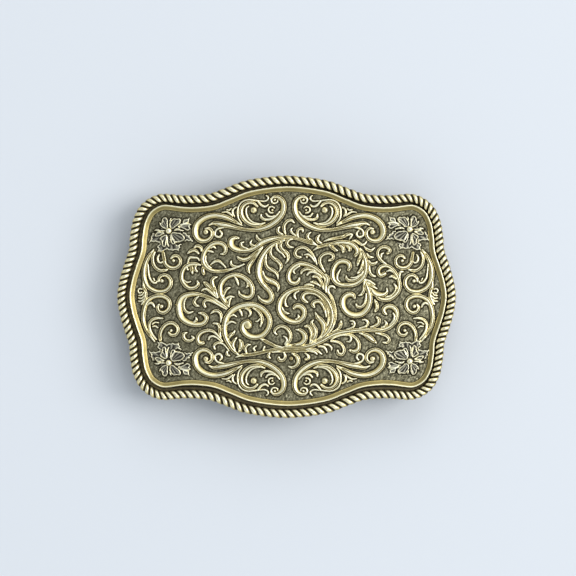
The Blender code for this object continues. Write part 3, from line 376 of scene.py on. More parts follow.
        [(5.2, -8.3, 0.5), (6.1, -8.3, 0.9), (6.8, -9.3, 1.0), (7.1, -10.6, 1.0), (6.9, -12.0, 0.8),
         (6.5, -13.0, 0.3)],
    ],
    "leaf_low": [
        [(2.6, -9.2, 0.3), (3.9, -9.5, 1.0), (4.9, -10.4, 1.4), (5.2, -11.7, 1.5), (4.5, -12.9, 1.4),
         (3.2, -13.5, 1.2), (1.5, -13.7, 0.8), (-0.3, -13.9, 0.4)],
    ],
    "ring_low": [
        [(-2.8, -10.6, 0.3), (-3.4, -9.9, 0.7), (-2.9, -8.9, 0.9), (-1.6, -8.3, 0.9), (-0.2, -8.7, 1.0),
         (0.8, -9.9, 1.0), (1.1, -11.3, 1.0), (0.7, -12.6, 0.9), (-0.2, -13.5, 0.6)],
        [(-0.9, -11.1, 0.3), (-0.2, -11.5, 0.6), (0.1, -12.4, 0.6), (-0.5, -13.3, 0.4)],
    ],
    "curl_low_right": [
        [(14.5, -10.9, 0.4), (16.5, -10.7, 0.7), (18.4, -10.9, 0.8), (19.8, -12.0, 0.9),
         (20.4, -13.5, 1.0), (20.1, -14.9, 1.2), (19.0, -15.4, 1.1), (17.9, -15.1, 0.7)],
        [(17.9, -11.0, 0.4), (18.2, -11.8, 0.7), (17.8, -12.6, 0.6), (17.0, -12.6, 0.3)],
        [(12.5, -12.5, 0.5), (13.7, -12.6, 0.7), (15.0, -13.0, 0.8), (15.9, -14.0, 0.8),
         (16.2, -15.2, 0.9), (15.6, -16.2, 1.0), (14.6, -15.9, 1.0), (14.4, -15.1, 0.6)],
        [(12.6, -12.2, 0.4), (13.5, -11.4, 0.6), (15.2, -10.8, 0.6)],
    ],
    "ring_right": [
        [(19.2, -0.3, 0.7), (18.6, 0.6, 1.3), (17.2, 0.6, 1.5), (16.1, -0.4, 1.6), (15.8, -2.0, 1.6),
         (16.4, -3.6, 1.6), (17.8, -4.8, 1.6), (19.6, -5.2, 1.6), (21.4, -4.7, 1.6), (22.7, -3.4, 1.6),
         (23.4, -1.7, 1.5), (23.5, 0.2, 1.4), (23.1, 2.0, 1.3), (22.5, 3.6, 1.1), (22.0, 5.0, 0.5)],
        [(19.6, -2.1, 0.6), (20.1, -2.8, 0.8), (21.1, -2.8, 0.8), (22.0, -2.0, 0.8), (22.4, -0.6, 0.7),
         (22.5, 0.8, 0.5)],
        [(20.4, 0.4, 0.4), (21.2, 0.8, 0.8), (21.8, 2.0, 0.9), (21.9, 3.6, 0.7), (22.0, 4.8, 0.3)],
        [(24.9, -0.8, 0.3), (25.4, -2.0, 1.0), (25.5, -3.2, 1.1), (25.0, -4.0, 0.7)],
        [(22.1, 5.0, 0.3), (23.5, 4.4, 0.7), (24.9, 3.5, 0.5)],
        [(22.3, 4.4, 0.3), (23.8, 3.4, 0.8), (25.5, 2.3, 0.4)],
        [(22.2, 4.3, 0.4), (23.0, 2.8, 0.9), (23.8, 1.0, 0.7)],
    ],
    "volute_right": [
        [(17.5, 7.6, 0.8), (17.8, 8.7, 1.2), (17.2, 9.7, 1.3), (15.9, 10.1, 1.3), (14.5, 9.7, 1.3),
         (13.5, 8.5, 1.3), (13.0, 7.0, 1.3), (13.1, 5.4, 1.3), (13.9, 4.1, 1.2), (15.3, 3.4, 1.2),
         (17.0, 3.3, 1.2), (18.7, 3.4, 1.2), (20.3, 4.1, 1.2), (21.6, 5.4, 1.3), (22.3, 7.1, 1.3),
         (22.5, 9.0, 1.3), (22.1, 10.9, 1.2), (21.4, 12.5, 1.0), (20.8, 13.7, 0.4)],
        [(15.2, 7.8, 0.3), (14.7, 7.0, 0.6), (14.3, 6.0, 0.7), (14.3, 5.0, 0.6), (14.9, 4.3, 0.3)],
        [(16.8, 5.9, 0.4), (17.1, 5.0, 0.9), (18.1, 4.6, 0.9), (19.6, 4.9, 0.9), (20.9, 5.9, 0.8),
         (21.6, 7.2, 0.5)],
        [(18.2, 5.4, 0.4), (19.6, 5.5, 0.6), (20.9, 6.3, 0.5)],
        [(20.0, 8.9, 0.5), (20.3, 10.0, 0.9), (20.8, 11.2, 0.9), (21.1, 12.4, 0.5)],
        [(20.1, 6.7, 0.6), (20.9, 7.6, 0.9), (21.4, 8.9, 0.8), (21.6, 10.3, 0.4)],
        [(21.9, 14.2, 0.3), (22.7, 13.5, 0.8), (23.8, 13.1, 0.8), (24.9, 13.9, 0.3)],
        [(22.7, 12.2, 0.4), (23.4, 11.3, 0.8), (24.5, 11.2, 0.3)],
        [(23.2, 10.2, 0.5), (23.8, 9.4, 0.9), (24.9, 9.4, 0.8), (25.6, 10.0, 0.3)],
        [(23.4, 8.8, 0.4), (23.4, 7.4, 0.7), (23.9, 6.3, 0.8), (25.0, 5.8, 0.5)],
    ],
    "frond_right": [
        [(7.6, 13.2, 0.3), (9.0, 14.0, 0.8), (10.8, 14.6, 0.9), (12.6, 14.9, 1.0), (14.4, 15.3, 1.2),
         (16.3, 15.3, 1.4), (18.2, 14.9, 1.5), (19.6, 13.9, 1.3), (20.0, 12.7, 1.1), (19.4, 11.6, 0.9)],
        [(12.0, 14.7, 0.5), (12.9, 13.9, 1.0), (13.9, 13.2, 0.8), (14.4, 13.1, 0.3)],
        [(14.6, 14.9, 0.7), (15.7, 14.2, 1.2), (16.0, 13.2, 1.1), (15.9, 12.5, 0.4)],
        [(16.3, 15.0, 0.7), (17.5, 14.2, 1.2), (17.9, 13.4, 1.0), (17.6, 13.0, 0.4)],
        [(18.5, 15.8, 0.3), (19.5, 15.8, 0.8), (20.4, 15.3, 0.8), (21.3, 14.7, 0.7), (22.1, 15.0, 0.6),
         (22.6, 15.7, 0.3)],
        [(10.6, 15.7, 0.3), (12.0, 16.2, 0.7), (14.0, 16.6, 0.8), (15.8, 17.0, 0.9), (17.3, 17.6, 0.9),
         (18.5, 17.6, 0.5), (18.1, 16.8, 0.6), (17.7, 16.3, 0.3)],
        [(12.0, 10.3, 0.7), (13.0, 10.8, 0.9), (13.0, 11.8, 0.9), (11.9, 12.3, 0.9), (10.5, 12.0, 0.9),
         (9.5, 11.0, 0.9), (9.4, 9.7, 0.8), (10.0, 8.4, 0.7), (10.8, 7.1, 0.4)],
    ],
    "frond_centre": [
        [(3.6, 5.3, 0.5), (3.2, 4.3, 1.0), (2.2, 3.8, 1.1), (1.0, 4.3, 1.2), (0.5, 5.6, 1.3),
         (0.9, 7.2, 1.3), (2.0, 8.5, 1.3), (3.6, 9.3, 1.3), (5.3, 9.2, 1.2), (7.0, 8.6, 1.2),
         (8.6, 7.7, 1.1), (9.9, 6.5, 1.0), (10.9, 5.2, 0.8), (11.0, 3.5, 0.8), (11.2, 2.0, 0.5)],
        [(2.3, 6.6, 0.4), (1.9, 7.3, 0.6), (2.6, 8.1, 0.7), (3.6, 8.7, 0.5)],
        [(4.1, 6.6, 0.5), (4.5, 7.4, 0.9), (5.7, 7.9, 1.0), (7.2, 7.7, 0.8), (8.4, 7.2, 0.4)],
        [(5.8, 6.2, 0.6), (6.5, 6.9, 0.7), (7.7, 7.0, 0.7), (9.0, 6.4, 0.6), (10.0, 5.5, 0.4)],
        [(7.4, 5.7, 0.6), (8.5, 5.8, 1.0), (9.4, 4.9, 1.0), (10.0, 3.6, 0.9), (10.4, 2.2, 0.4)],
        [(6.8, 4.2, 0.5), (7.9, 4.1, 0.9), (8.9, 3.5, 0.6), (9.5, 3.0, 0.3)],
        [(5.1, 3.3, 0.3), (6.3, 3.5, 0.7), (7.6, 3.2, 0.5)],
        [(11.0, 6.3, 0.5), (11.5, 5.2, 1.3), (11.3, 3.9, 1.3), (10.9, 2.7, 0.8), (11.2, 1.4, 0.5)],
        [(13.7, 2.5, 0.3), (13.0, 3.0, 0.6), (12.1, 2.8, 0.7), (11.7, 2.0, 0.7), (12.0, 0.9, 0.6)],
        [(4.0, 11.2, 0.6), (3.0, 11.3, 0.9), (2.4, 12.2, 0.9), (2.8, 13.3, 0.9), (3.9, 13.9, 0.9),
         (5.3, 13.8, 0.9), (6.6, 12.8, 0.8), (7.6, 11.5, 0.7), (8.2, 10.3, 0.5), (8.5, 9.2, 0.3)],
        [(5.1, 11.9, 0.4), (6.1, 12.0, 0.6), (7.1, 11.2, 0.6), (8.0, 9.9, 0.3)],
        [(5.7, 11.2, 0.6), (5.7, 11.3, 0.6)],
    ],
    "scroll_right": [
        [(27.6, 6.5, 1.3), (26.5, 6.1, 1.2), (25.9, 7.2, 1.1), (26.5, 8.3, 1.1), (27.9, 8.8, 1.0),
         (29.3, 8.3, 1.0), (30.5, 7.0, 1.1), (31.4, 5.4, 1.1), (31.9, 3.6, 1.1), (31.7, 1.9, 1.1),
         (30.8, 0.6, 1.2), (29.4, -0.4, 1.3), (27.8, -0.8, 1.2), (26.3, -0.5, 1.0), (25.2, 0.3, 0.6)],
        [(30.4, 3.6, 0.5), (31.0, 2.6, 0.8), (30.6, 1.3, 0.8), (29.5, 0.3, 0.7), (28.0, -0.1, 0.4)],
        [(28.3, 7.2, 0.4), (29.2, 7.5, 0.7), (30.2, 7.0, 0.6)],
        [(29.0, 5.6, 0.4), (29.9, 5.8, 0.8), (30.8, 5.2, 0.7)],
        [(32.9, 7.1, 0.4), (32.2, 7.0, 0.7), (31.9, 6.2, 0.7), (32.0, 5.2, 0.4)],
        [(23.6, 2.6, 0.3), (24.4, 1.5, 1.4), (25.6, 0.7, 1.6), (27.3, 0.6, 1.2), (28.3, 1.3, 0.8),
         (28.3, 2.4, 0.4)],
        [(28.5, 12.3, 0.8), (29.1, 12.9, 1.0), (28.7, 13.7, 1.0), (27.6, 14.1, 0.9), (26.4, 13.7, 0.8),
         (25.7, 12.5, 0.8), (26.0, 11.2, 0.8), (26.9, 10.1, 0.8), (28.0, 9.4, 0.5)],
        [(27.4, 12.4, 0.3), (26.8, 12.0, 0.6), (26.7, 11.2, 0.5)],
    ],
}

# Corner flowers: outlines round the bead of the lower left flower, mirrored to the other corners. The
# bead is at BEAD_X and BEAD_Y there, and the right flowers sit a little higher.
BEAD_X = -33.3
BEAD_Y = 18.65
RIGHT_LIFT = 0.45
PETALS = [
    [(-0.8, -0.05), (-1.8, -0.3), (-2.5, -0.35), (-2.9, -0.65), (-3.5, -0.55), (-4.0, -0.3), (-4.0, 0.05),
     (-3.4, 0.1), (-2.6, 0.2), (-1.6, 0.25)],
    [(-1.2, 0.35), (-2.1, 0.3), (-2.9, 0.1), (-3.5, 0.45), (-4.0, 1.05), (-4.0, 1.55), (-3.6, 1.75),
     (-3.0, 1.7), (-2.4, 1.55), (-1.8, 1.15), (-1.1, 0.8)],
    [(-0.7, -0.4), (-1.7, -0.75), (-2.35, -1.3), (-2.75, -2.0), (-2.65, -2.55), (-2.2, -2.3),
     (-2.05, -2.7), (-1.85, -3.45), (-1.3, -3.9), (-0.7, -3.85), (-0.3, -3.35), (-0.1, -2.9),
     (-0.15, -2.2), (-0.1, -1.3), (-0.15, -0.65)],
    [(0.2, -2.6), (0.3, -3.3), (0.75, -3.7), (0.85, -3.45), (0.6, -2.9)],
    [(0.4, -0.6), (0.1, -1.5), (0.25, -2.4), (0.75, -3.1), (1.5, -3.65), (2.3, -3.5), (3.1, -3.6),
     (3.5, -3.1), (3.4, -2.4), (2.9, -1.75), (2.1, -1.15), (1.3, -0.5)],
    [(1.4, -0.2), (2.1, -0.75), (2.8, -0.75), (3.5, -0.4), (4.3, -0.1), (3.9, 0.2), (3.2, 0.05),
     (2.4, 0.0), (1.5, 0.1)],
    [(-0.3, 1.2), (-0.15, 2.2), (-0.05, 3.2), (0.25, 4.4), (-0.2, 4.5), (-0.55, 3.6), (-0.5, 2.2)],
    [(-0.5, 1.05), (-1.15, 1.05), (-1.85, 1.4), (-2.5, 1.85), (-2.6, 2.4), (-2.2, 2.85), (-2.05, 3.4),
     (-2.0, 4.1), (-1.55, 4.6), (-1.0, 4.65), (-0.65, 4.1), (-0.55, 3.2), (-0.4, 2.1)],
    [(0.3, 1.2), (0.3, 2.2), (0.5, 3.1), (0.9, 3.8), (1.5, 3.9), (2.0, 3.4), (1.3, 2.3), (0.9, 1.2)],
    [(0.4, 1.05), (1.1, 0.3), (2.3, 0.4), (3.2, 0.5), (3.9, 0.9), (4.5, 1.6), (4.6, 2.3), (4.1, 2.9),
     (3.1, 3.25), (2.1, 3.35), (1.4, 3.3), (1.0, 2.3)],
]
LEAVES = [
    [(-2.2, -0.9), (-1.0, -2.6), (0.0, -2.8), (1.8, -2.6), (3.0, -1.4), (3.6, 0.4), (3.2, 2.4), (1.0, 3.0),
     (-1.0, 3.6), (-2.4, 2.6), (-3.2, 1.2)],
    [(2.4, -1.2), (3.0, -2.0), (3.8, -2.2), (3.9, -2.8), (4.25, -3.35), (4.8, -3.45), (5.4, -3.45),
     (6.05, -3.85), (5.8, -3.1), (5.8, -2.35), (5.15, -2.1), (4.35, -1.8)],
    [(2.7, -1.0), (3.35, -1.75), (4.35, -2.1), (5.5, -2.2), (5.95, -2.2), (6.55, -1.75), (5.95, -1.3),
     (6.3, -0.65), (5.85, -0.1), (5.15, 0.05), (4.5, -0.3), (3.7, -0.65)],
    [(3.9, 0.2), (4.9, 0.5), (5.3, 1.15), (6.05, 1.15), (5.95, 1.75), (6.5, 1.95), (6.5, 2.4), (7.1, 2.95),
     (6.75, 3.2), (6.05, 2.85), (5.7, 3.1), (5.15, 2.75), (4.7, 3.1), (4.3, 3.1), (3.6, 2.4), (3.6, 1.2)],
    [(-3.2, 4.1), (-3.5, 4.65), (-3.0, 5.0), (-3.2, 5.55), (-3.3, 6.15), (-2.75, 5.85), (-2.05, 6.1),
     (-1.5, 5.8), (-0.7, 5.4), (-0.5, 5.25), (0.0, 5.6), (0.65, 5.55), (1.1, 5.8), (1.65, 5.5),
     (2.35, 5.55), (3.0, 5.85), (2.9, 5.25), (3.35, 4.65), (3.1, 4.2), (3.8, 3.65), (3.1, 3.75),
     (2.45, 4.0), (1.5, 3.0), (-1.8, 3.0), (-2.6, 3.7)],
    [(-4.1, 0.5), (-4.8, 0.6), (-4.8, 1.15), (-5.25, 1.6), (-5.1, 2.2), (-5.55, 2.95), (-5.7, 3.65),
     (-5.0, 3.1), (-4.2, 3.3), (-3.75, 3.1), (-3.0, 3.4), (-2.4, 3.65), (-2.0, 3.0), (-2.2, 2.0),
     (-3.0, 1.5), (-3.4, 0.8)],
]

# Spacing of the samples along curves, and along the outlines of petals and leaves.
CURVE_STEP = 0.06
OUTLINE_STEP = 0.08


def crown(x):
    """How far the crowned plate has bent back at x, for a number or an array."""
    return np.maximum(0.0, np.abs(x) - FLAT_HALF_WIDTH) ** 2 / (2.0 * CROWN_RADIUS)


def smooth_step(low, high, value):
    """0 below low, 1 above high, and a smooth rise between them."""
    t = np.clip((value - low) / (high - low), 0.0, 1.0)
    return t * t * (3.0 - 2.0 * t)


def smooth_line(points, closed=False, step=CURVE_STEP):
    """Close samples along a Catmull-Rom spline, every column of the points blended alike."""
    p = np.array(points, float)
    p = np.vstack([p[-1:], p, p[:2]]) if closed else np.vstack([p[:1], p, p[-1:]])
    parts = []
    for a, b, c, d in zip(p, p[1:], p[2:], p[3:]):
        count = max(2, int(math.dist(b[:2], c[:2]) / step))
        t = np.linspace(0.0, 1.0, count, endpoint=False)[:, None]
        parts.append(0.5 * (2 * b + (c - a) * t + (2 * a - 5 * b + 4 * c - d) * t ** 2
                            + (3 * b - a - 3 * c + d) * t ** 3))
    if not closed:
        parts.append(p[-2:-1])
    return np.vstack(parts)


def straight_line(points, step=OUTLINE_STEP):
    """Close samples along a closed outline with straight sides."""
    parts = []
    for a, b in zip(points, points[1:] + points[:1]):
        count = max(2, int(math.dist(a, b) / step))
        t = np.linspace(0.0, 1.0, count, endpoint=False)[:, None]
        parts.append(np.array(a) + (np.array(b) - np.array(a)) * t)
    return np.vstack(parts)


def even_line(points, count):
    """count samples at equal distances along a smooth closed line."""
    line = smooth_line(points, closed=True)
    line = np.vstack([line, line[:1]])
    lengths = np.concatenate([[0.0], np.cumsum(np.hypot(*np.diff(line, axis=0).T))])
    targets = np.linspace(0.0, lengths[-1], count, endpoint=False)
    return np.column_stack([np.interp(targets, lengths, column) for column in line.T])


def line_normals(line):
    """Unit normals to the left of a closed line's direction."""
    tangent = np.roll(line, -1, axis=0) - np.roll(line, 1, axis=0)
    tangent /= np.hypot(tangent[:, 0], tangent[:, 1])[:, None]
    return np.column_stack([-tangent[:, 1], tangent[:, 0]])


def whole_outline():
    """The rope edge's outline, counterclockwise from the right end."""
    left = [(-x, y) for x, y in reversed(QUARTER_OUTLINE[:-1])]
    upper = QUARTER_OUTLINE + left
    lower = [(x, -y) for x, y in reversed(upper[1:-1])]
    return upper + lower


def inset_outline(inset, count, centre=(0.0, 0.0)):
    """Points round the outline moved inward by inset and then sideways by centre."""
    line = even_line(whole_outline(), count)
    return line + line_normals(line) * inset + np.array(centre)


def depth_inside(gx, gy, line):
    """How far inside a closed line each point is, negative outside."""
    inside = np.zeros(gx.shape, bool)
    nearest = np.full(gx.shape, FAR)
    for (ax, ay), (bx, by) in zip(line, np.roll(line, -1, axis=0)):
        nearest = np.minimum(nearest, np.hypot(gx - ax, gy - ay))
        crosses = (ay > gy) != (by > gy)
        if ay != by:
            inside ^= crosses & (gx < ax + (bx - ax) * (gy - ay) / (by - ay))
    return np.where(inside, nearest, -nearest)


def box_blur(field, reach):
    """The mean of a field over a square that reaches so many cells each way."""
    for axis in (0, 1):
        padding = [(0, 0), (0, 0)]
        padding[axis] = (reach + 1, reach)
        sums = np.cumsum(np.pad(field, padding, mode="edge"), axis=axis)
        size = 2 * reach + 1
        field = (np.take(sums, range(size, sums.shape[axis]), axis)
                 - np.take(sums, range(0, sums.shape[axis] - size), axis)) / size
    return field


# A relief's walls are steep, and reach a little below the ground so that the ground hides their foot.
# Each stroke is drawn wider by the strip of wall that stays dark, patina and painted shade, which fade out
# up the wall.
WALL_SLOPE = 2.0
WALL_FOOT = 0.28
WALL_SHADE = 0.16
WALL_DARK = -0.02
WALL_BRIGHT = 0.14
WALL_ROUNDING = 14.0
RELIEF_MARGIN = 1.2

# Sections of a stroke's top, each a list of (place, height share, wear). A wide stroke has a rim and a
# groove along its outer side, placed in millimetres from the edge, and then a face that falls inward,
# placed by its share of the rest. A narrow stroke is a plain dome, placed from side to side.
EDGE_SECTION = [
    (0.0, 0.72, 0.55), (0.12, 0.97, 0.95), (0.23, 1.0, 1.0), (0.32, 0.88, 0.55), (0.44, 0.55, 0.02),
    (0.57, 0.8, 0.4), (0.7, 0.97, 0.98),
]
FACE_SECTION = [(0.0, 0.97, 0.98), (0.3, 0.88, 0.78), (0.6, 0.62, 0.55), (1.0, 0.28, 0.28)]
DOME_SECTION = [(-1.0, 0.55, 0.45), (-0.5, 0.9, 0.82), (0.0, 1.0, 1.0), (0.5, 0.9, 0.82), (1.0, 0.55, 0.45)]
NARROW_HALF = 0.48
WIDE_HALF = 0.6
LEAST_FACE = 0.1
STROKE_HEIGHT = 0.34
STROKE_RISE = 0.6

# A stroke is straight or bent by its turn per millimetre, evened out over some samples.
LEAST_WIDTH = 0.1
TURN_BLUR = 6
SHARPEST_TURN = 2.0
BEND_REACH = 3.0
STRAIGHT_BEND = 0.1
FULL_BEND = 0.6
STROKE_REACH = 0.4
UNDRAWN_HALF = 0.3

# Bulbs: a dome that stands on a low drum, brightest in a ring a little inside its edge.
BULB_RISE = 0.5
BULB_DRUM = 0.55
BULB_DOME = 0.55
BULB_WEAR = 0.62
BULB_RING_WEAR = 0.38
BULB_RING = 0.28
BULB_RING_WIDTH = 0.2

# Creases: how far round each point, in cells, its surroundings are levelled, and the depths that count.
CREASE_REACH = 2
CREASE_FULL = 0.07
CREASE_DARK = 0.85
CREST_FULL = 0.12
CREST_BRIGHT = 0.12

# Petals and leaves: a raised rim and radial veins, and painted shadow on the leaves close round the petals.
RIM_INSET = 0.2
RIM_WIDTH = 0.18
RIM_FLATNESS = 1.5
VEIN_HEIGHT = 0.07
VEIN_START = 1.0
PATCH_WEAR = 0.26
PATCH_DARK = -0.06
PATCH_BRIGHT = 0.1
PETAL_SHADE_START = 0.02
PETAL_SHADE = 0.4


def smooth_min(a, b):
    """The lower of two heights, with the corner between them rounded."""
    return -np.logaddexp(-WALL_ROUNDING * a, -WALL_ROUNDING * b) / WALL_ROUNDING


def bell(value, middle, width):
    """1 at the middle, falling to both sides."""
    return np.exp(-((value - middle) / width) ** 2)


def section_at(section, across):
    """Height share and wear of a section at places across it."""
    places, heights, wears = zip(*section)
    return np.array([np.interp(across, places, heights), np.interp(across, places, wears)])


def stroke_top(across, half, outer):
    """Height and wear across a stroke's top; outer says which way it bends, and how much, -1 to 1."""
    from_outer = (1.0 + across * np.where(outer < 0.0, -1.0, 1.0)) * half
    rim_width = EDGE_SECTION[-1][0]
    rim = section_at(EDGE_SECTION, from_outer)
    face_width = np.maximum(2.0 * half - rim_width, LEAST_FACE)
    face = section_at(FACE_SECTION, (from_outer - rim_width) / face_width)
    bent = np.where(from_outer < rim_width, rim, face)
    straight = section_at(EDGE_SECTION, (1.0 - np.abs(across)) * half)
    dome = section_at(DOME_SECTION, across)
    bend = smooth_step(STRAIGHT_BEND, FULL_BEND, np.abs(outer))
    wide = smooth_step(NARROW_HALF, WIDE_HALF, half)
    share, wear_and_shade = dome + wide * (straight + bend * (bent - straight) - dome)
    return (STROKE_HEIGHT + STROKE_RISE * half) * share, wear_and_shade


class Relief:
    """A height field over part of the shared grid, and how near each cell is to a stroke's edge."""

    def __init__(self, points):
        low = np.min(points, axis=0) - RELIEF_MARGIN
        high = np.max(points, axis=0) + RELIEF_MARGIN
        self.i0 = max(0, int((low[0] - GRID_X) / CELL))
        self.j0 = max(0, int((low[1] - GRID_Y) / CELL))
        i1 = min(GRID_COLUMNS, int((high[0] - GRID_X) / CELL) + 2)
        j1 = min(GRID_ROWS, int((high[1] - GRID_Y) / CELL) + 2)
        self.x = GRID_X + CELL * np.arange(self.i0, i1)
        self.y = GRID_Y + CELL * np.arange(self.j0, j1)
        self.gx, self.gy = np.meshgrid(self.x, self.y)
        self.height = np.full(self.gx.shape, -FAR)
        self.edge = np.full(self.gx.shape, -FAR)
        self.wear_and_shade = np.zeros(self.gx.shape)

    def raise_to(self, height, edge, wear_and_shade):
        """Keep the higher of what is there and a new height, with its wear."""
        self.wear_and_shade = np.where(height > self.height, wear_and_shade, self.wear_and_shade)
        self.height = np.maximum(self.height, height)
        self.edge = np.maximum(self.edge, edge)

    def bulb(self, x, y, width):
        """Add a round bulb, the end of a curl."""
        half = width / 2 + WALL_SHADE
        away = np.hypot(self.gx - x, self.gy - y)
        edge = half - away
        dome = np.sqrt(np.maximum(1.0 - (away / half) ** 2, 0.0))
        top = (STROKE_HEIGHT + BULB_RISE * half) * (BULB_DRUM + BULB_DOME * dome)
        wear_and_shade = BULB_WEAR + BULB_RING_WEAR * bell(edge, BULB_RING, BULB_RING_WIDTH)
        # Patina and painted shade at the foot of the wall.
        wear_and_shade = wear_and_shade * smooth_step(WALL_DARK, WALL_BRIGHT, edge)
        self.raise_to(smooth_min(WALL_SLOPE * edge, top), edge, wear_and_shade)

    def stroke(self, points):
        """Add one stroke: points of (x, y, width)."""
        line = smooth_line(points)
        half = np.maximum(line[:, 2], LEAST_WIDTH) / 2 + WALL_SHADE
        tangent = np.gradient(line[:, :2], axis=0)
        speed = np.maximum(np.hypot(tangent[:, 0], tangent[:, 1]), 1e-9)
        tangent /= speed[:, None]
        turn = np.gradient(np.unwrap(np.arctan2(tangent[:, 1], tangent[:, 0]))) / speed
        turn = np.clip(box_blur(turn[:, None], TURN_BLUR)[:, 0], -SHARPEST_TURN, SHARPEST_TURN)
        edge = np.full(self.gx.shape, -FAR)
        side = np.zeros(self.gx.shape)
        width = np.full(self.gx.shape, UNDRAWN_HALF)
        outer = np.zeros(self.gx.shape)
        for (x, y), h, (tx, ty), bend in zip(line[:, :2], half, tangent, np.tanh(BEND_REACH * turn)):
            reach = h + STROKE_REACH
            i = slice(*np.searchsorted(self.x, (x - reach, x + reach)))
            j = slice(*np.searchsorted(self.y, (y - reach, y + reach)))
            dx = self.x[i] - x
            dy = self.y[j, None] - y
            score = h - np.hypot(dx, dy)
            nearer = score > edge[j, i]
            edge[j, i][nearer] = score[nearer]
            side[j, i][nearer] = (tx * dy - ty * dx)[nearer]
            width[j, i][nearer] = h
            outer[j, i][nearer] = bend
        top, wear_and_shade = stroke_top(np.clip(side / width, -1.0, 1.0), width, outer)
        # Patina and painted shade at the foot of the wall.
        wear_and_shade = wear_and_shade * smooth_step(WALL_DARK, WALL_BRIGHT, edge)
        self.raise_to(smooth_min(WALL_SLOPE * edge, top), edge, wear_and_shade)

    def patch(self, line, low, high, rim, centre, veins):
        """Add a petal or leaf: a closed line, the heights of its edge, face and rim, veins round centre."""
        inward = depth_inside(self.gx, self.gy, line)
        around = np.arctan2(self.gy - centre[1], self.gx - centre[0])
        away = np.hypot(self.gx - centre[0], self.gy - centre[1])
        lip = np.minimum(RIM_FLATNESS * bell(inward, RIM_INSET, RIM_WIDTH), 1.0)
        vein = np.cos(veins * around) * np.clip(away / VEIN_START - 1.0, 0.0, 1.0) * (1.0 - lip)
        top = high + (rim - high) * lip + VEIN_HEIGHT * vein
        # Patina and painted shade at the foot of the petal or leaf.
        wear_and_shade = np.maximum(lip, PATCH_WEAR * (1.0 + vein)) * smooth_step(PATCH_DARK, PATCH_BRIGHT, inward)
        self.raise_to(smooth_min(low + WALL_SLOPE * inward, top), inward, wear_and_shade)

    def darken_creases(self):
        """Darken the creases between strokes with patina and painted shade, and polish the patina off their
        crests.
        """
        around = box_blur(box_blur(np.maximum(self.height, 0.0), CREASE_REACH), CREASE_REACH)
        sunk = around - self.height
        # Patina and painted shade in the creases.
        self.wear_and_shade *= 1.0 - CREASE_DARK * smooth_step(0.0, CREASE_FULL, sunk)
        self.wear_and_shade += CREST_BRIGHT * smooth_step(0.0, CREST_FULL, -sunk) * self.wear_and_shade

    def paint_shadow_round(self, lines):
        """Darken with painted shadow close round closed lines that stand on this relief."""
        for line in lines:
            self.wear_and_shade *= smooth_step(PETAL_SHADE_START, PETAL_SHADE, -depth_inside(self.gx, self.gy, line))


def new_object(name, vertices, faces, material, wear_and_shade, smooth=True):
    """A mesh object from vertices in millimetres, with its wear along as an attribute."""
    mesh = bpy.data.meshes.new(name)
    mesh.from_pydata((np.asarray(vertices, float) * MM).tolist(), [], [list(map(int, f)) for f in faces])
    attribute = mesh.attributes.new("wear_and_shade", "FLOAT", "POINT")
    attribute.data.foreach_set("value", np.broadcast_to(np.asarray(wear_and_shade, np.float32), len(vertices)).copy())
    mesh.materials.append(material)
    if smooth:
        mesh.shade_smooth()
    item = bpy.data.objects.new(name, mesh)
    bpy.context.scene.collection.objects.link(item)
    return item


def without_corner_touches(cells):
    """Fill a cell wherever two kept cells touch at a corner only, so that the walls stay closed."""
    while True:
        a, b = cells[:-1, :-1], cells[:-1, 1:]
        c, d = cells[1:, :-1], cells[1:, 1:]
        falling = a & d & ~b & ~c
        rising = b & c & ~a & ~d
        if not (falling.any() or rising.any()):
            return cells
        cells = cells.copy()
        cells[:-1, 1:] |= falling
        cells[:-1, :-1] |= rising


def border_loops(following):
    """The closed loops in a table of which vertex follows which along the border."""
    loops = []
    waiting = set(following)
    while waiting:
        loop = [min(waiting)]
        while following[loop[-1]] != loop[0]:
            loop.append(following[loop[-1]])
        waiting -= set(loop)
        loops.append(loop)
    return loops


# How far a grid solid's flat underside lies below its lowest point.
UNDER_DEPTH = 0.05


def grid_solid(name, x, y, height, keep, wear_and_shade, material):
    """A closed piece: the top of a height field where keep is true, walls down, and a flat underside."""
    cells = without_corner_touches(keep[:-1, :-1] & keep[1:, :-1] & keep[:-1, 1:] & keep[1:, 1:])
    used = np.zeros(keep.shape, bool)
    for rows in (slice(None, -1), slice(1, None)):
        for columns in (slice(None, -1), slice(1, None)):
            used[rows, columns] |= cells
    count = int(used.sum())
    index = np.zeros(keep.shape, int)
    index[used] = np.arange(count)
    gx, gy = np.meshgrid(x, y)
    ground = GROUND_Z - crown(gx[used])
    top = np.column_stack([gx[used], gy[used], ground + height[used]])
    quads = np.column_stack([index[:-1, :-1][cells], index[:-1, 1:][cells],
                             index[1:, 1:][cells], index[1:, :-1][cells]])
    starts = quads.ravel()
    ends = np.roll(quads, -1, axis=1).ravel()
    border = ~np.isin(starts * count + ends, ends * count + starts)
    following = dict(zip(starts[border].tolist(), ends[border].tolist()))
    rim = sorted(following)
    under = {v: count + k for k, v in enumerate(rim)}
    bottom = top[rim].copy()
    bottom[:, 2] = ground[rim] + float(np.min(height[used])) - UNDER_DEPTH
    walls = [(v, u, under[u], under[v]) for u, v in following.items()]
    loops = border_loops(following)
    order = [v for loop in loops for v in loop]
    floor = []
    for triangle in tessellate_polygon([[Vector((*top[v][:2], 0.0)) for v in loop] for loop in loops]):
        a, b, c = (order[k] for k in triangle)
        turn = np.cross(top[b][:2] - top[a][:2], top[c][:2] - top[a][:2])
        floor.append((under[a], under[c], under[b]) if turn > 0 else (under[a], under[b], under[c]))
    vertices = np.vstack([top, bottom])
    shades = np.concatenate([wear_and_shade[used], np.zeros(len(rim))])
    return new_object(name, vertices, quads.tolist() + walls + floor, material, shades)


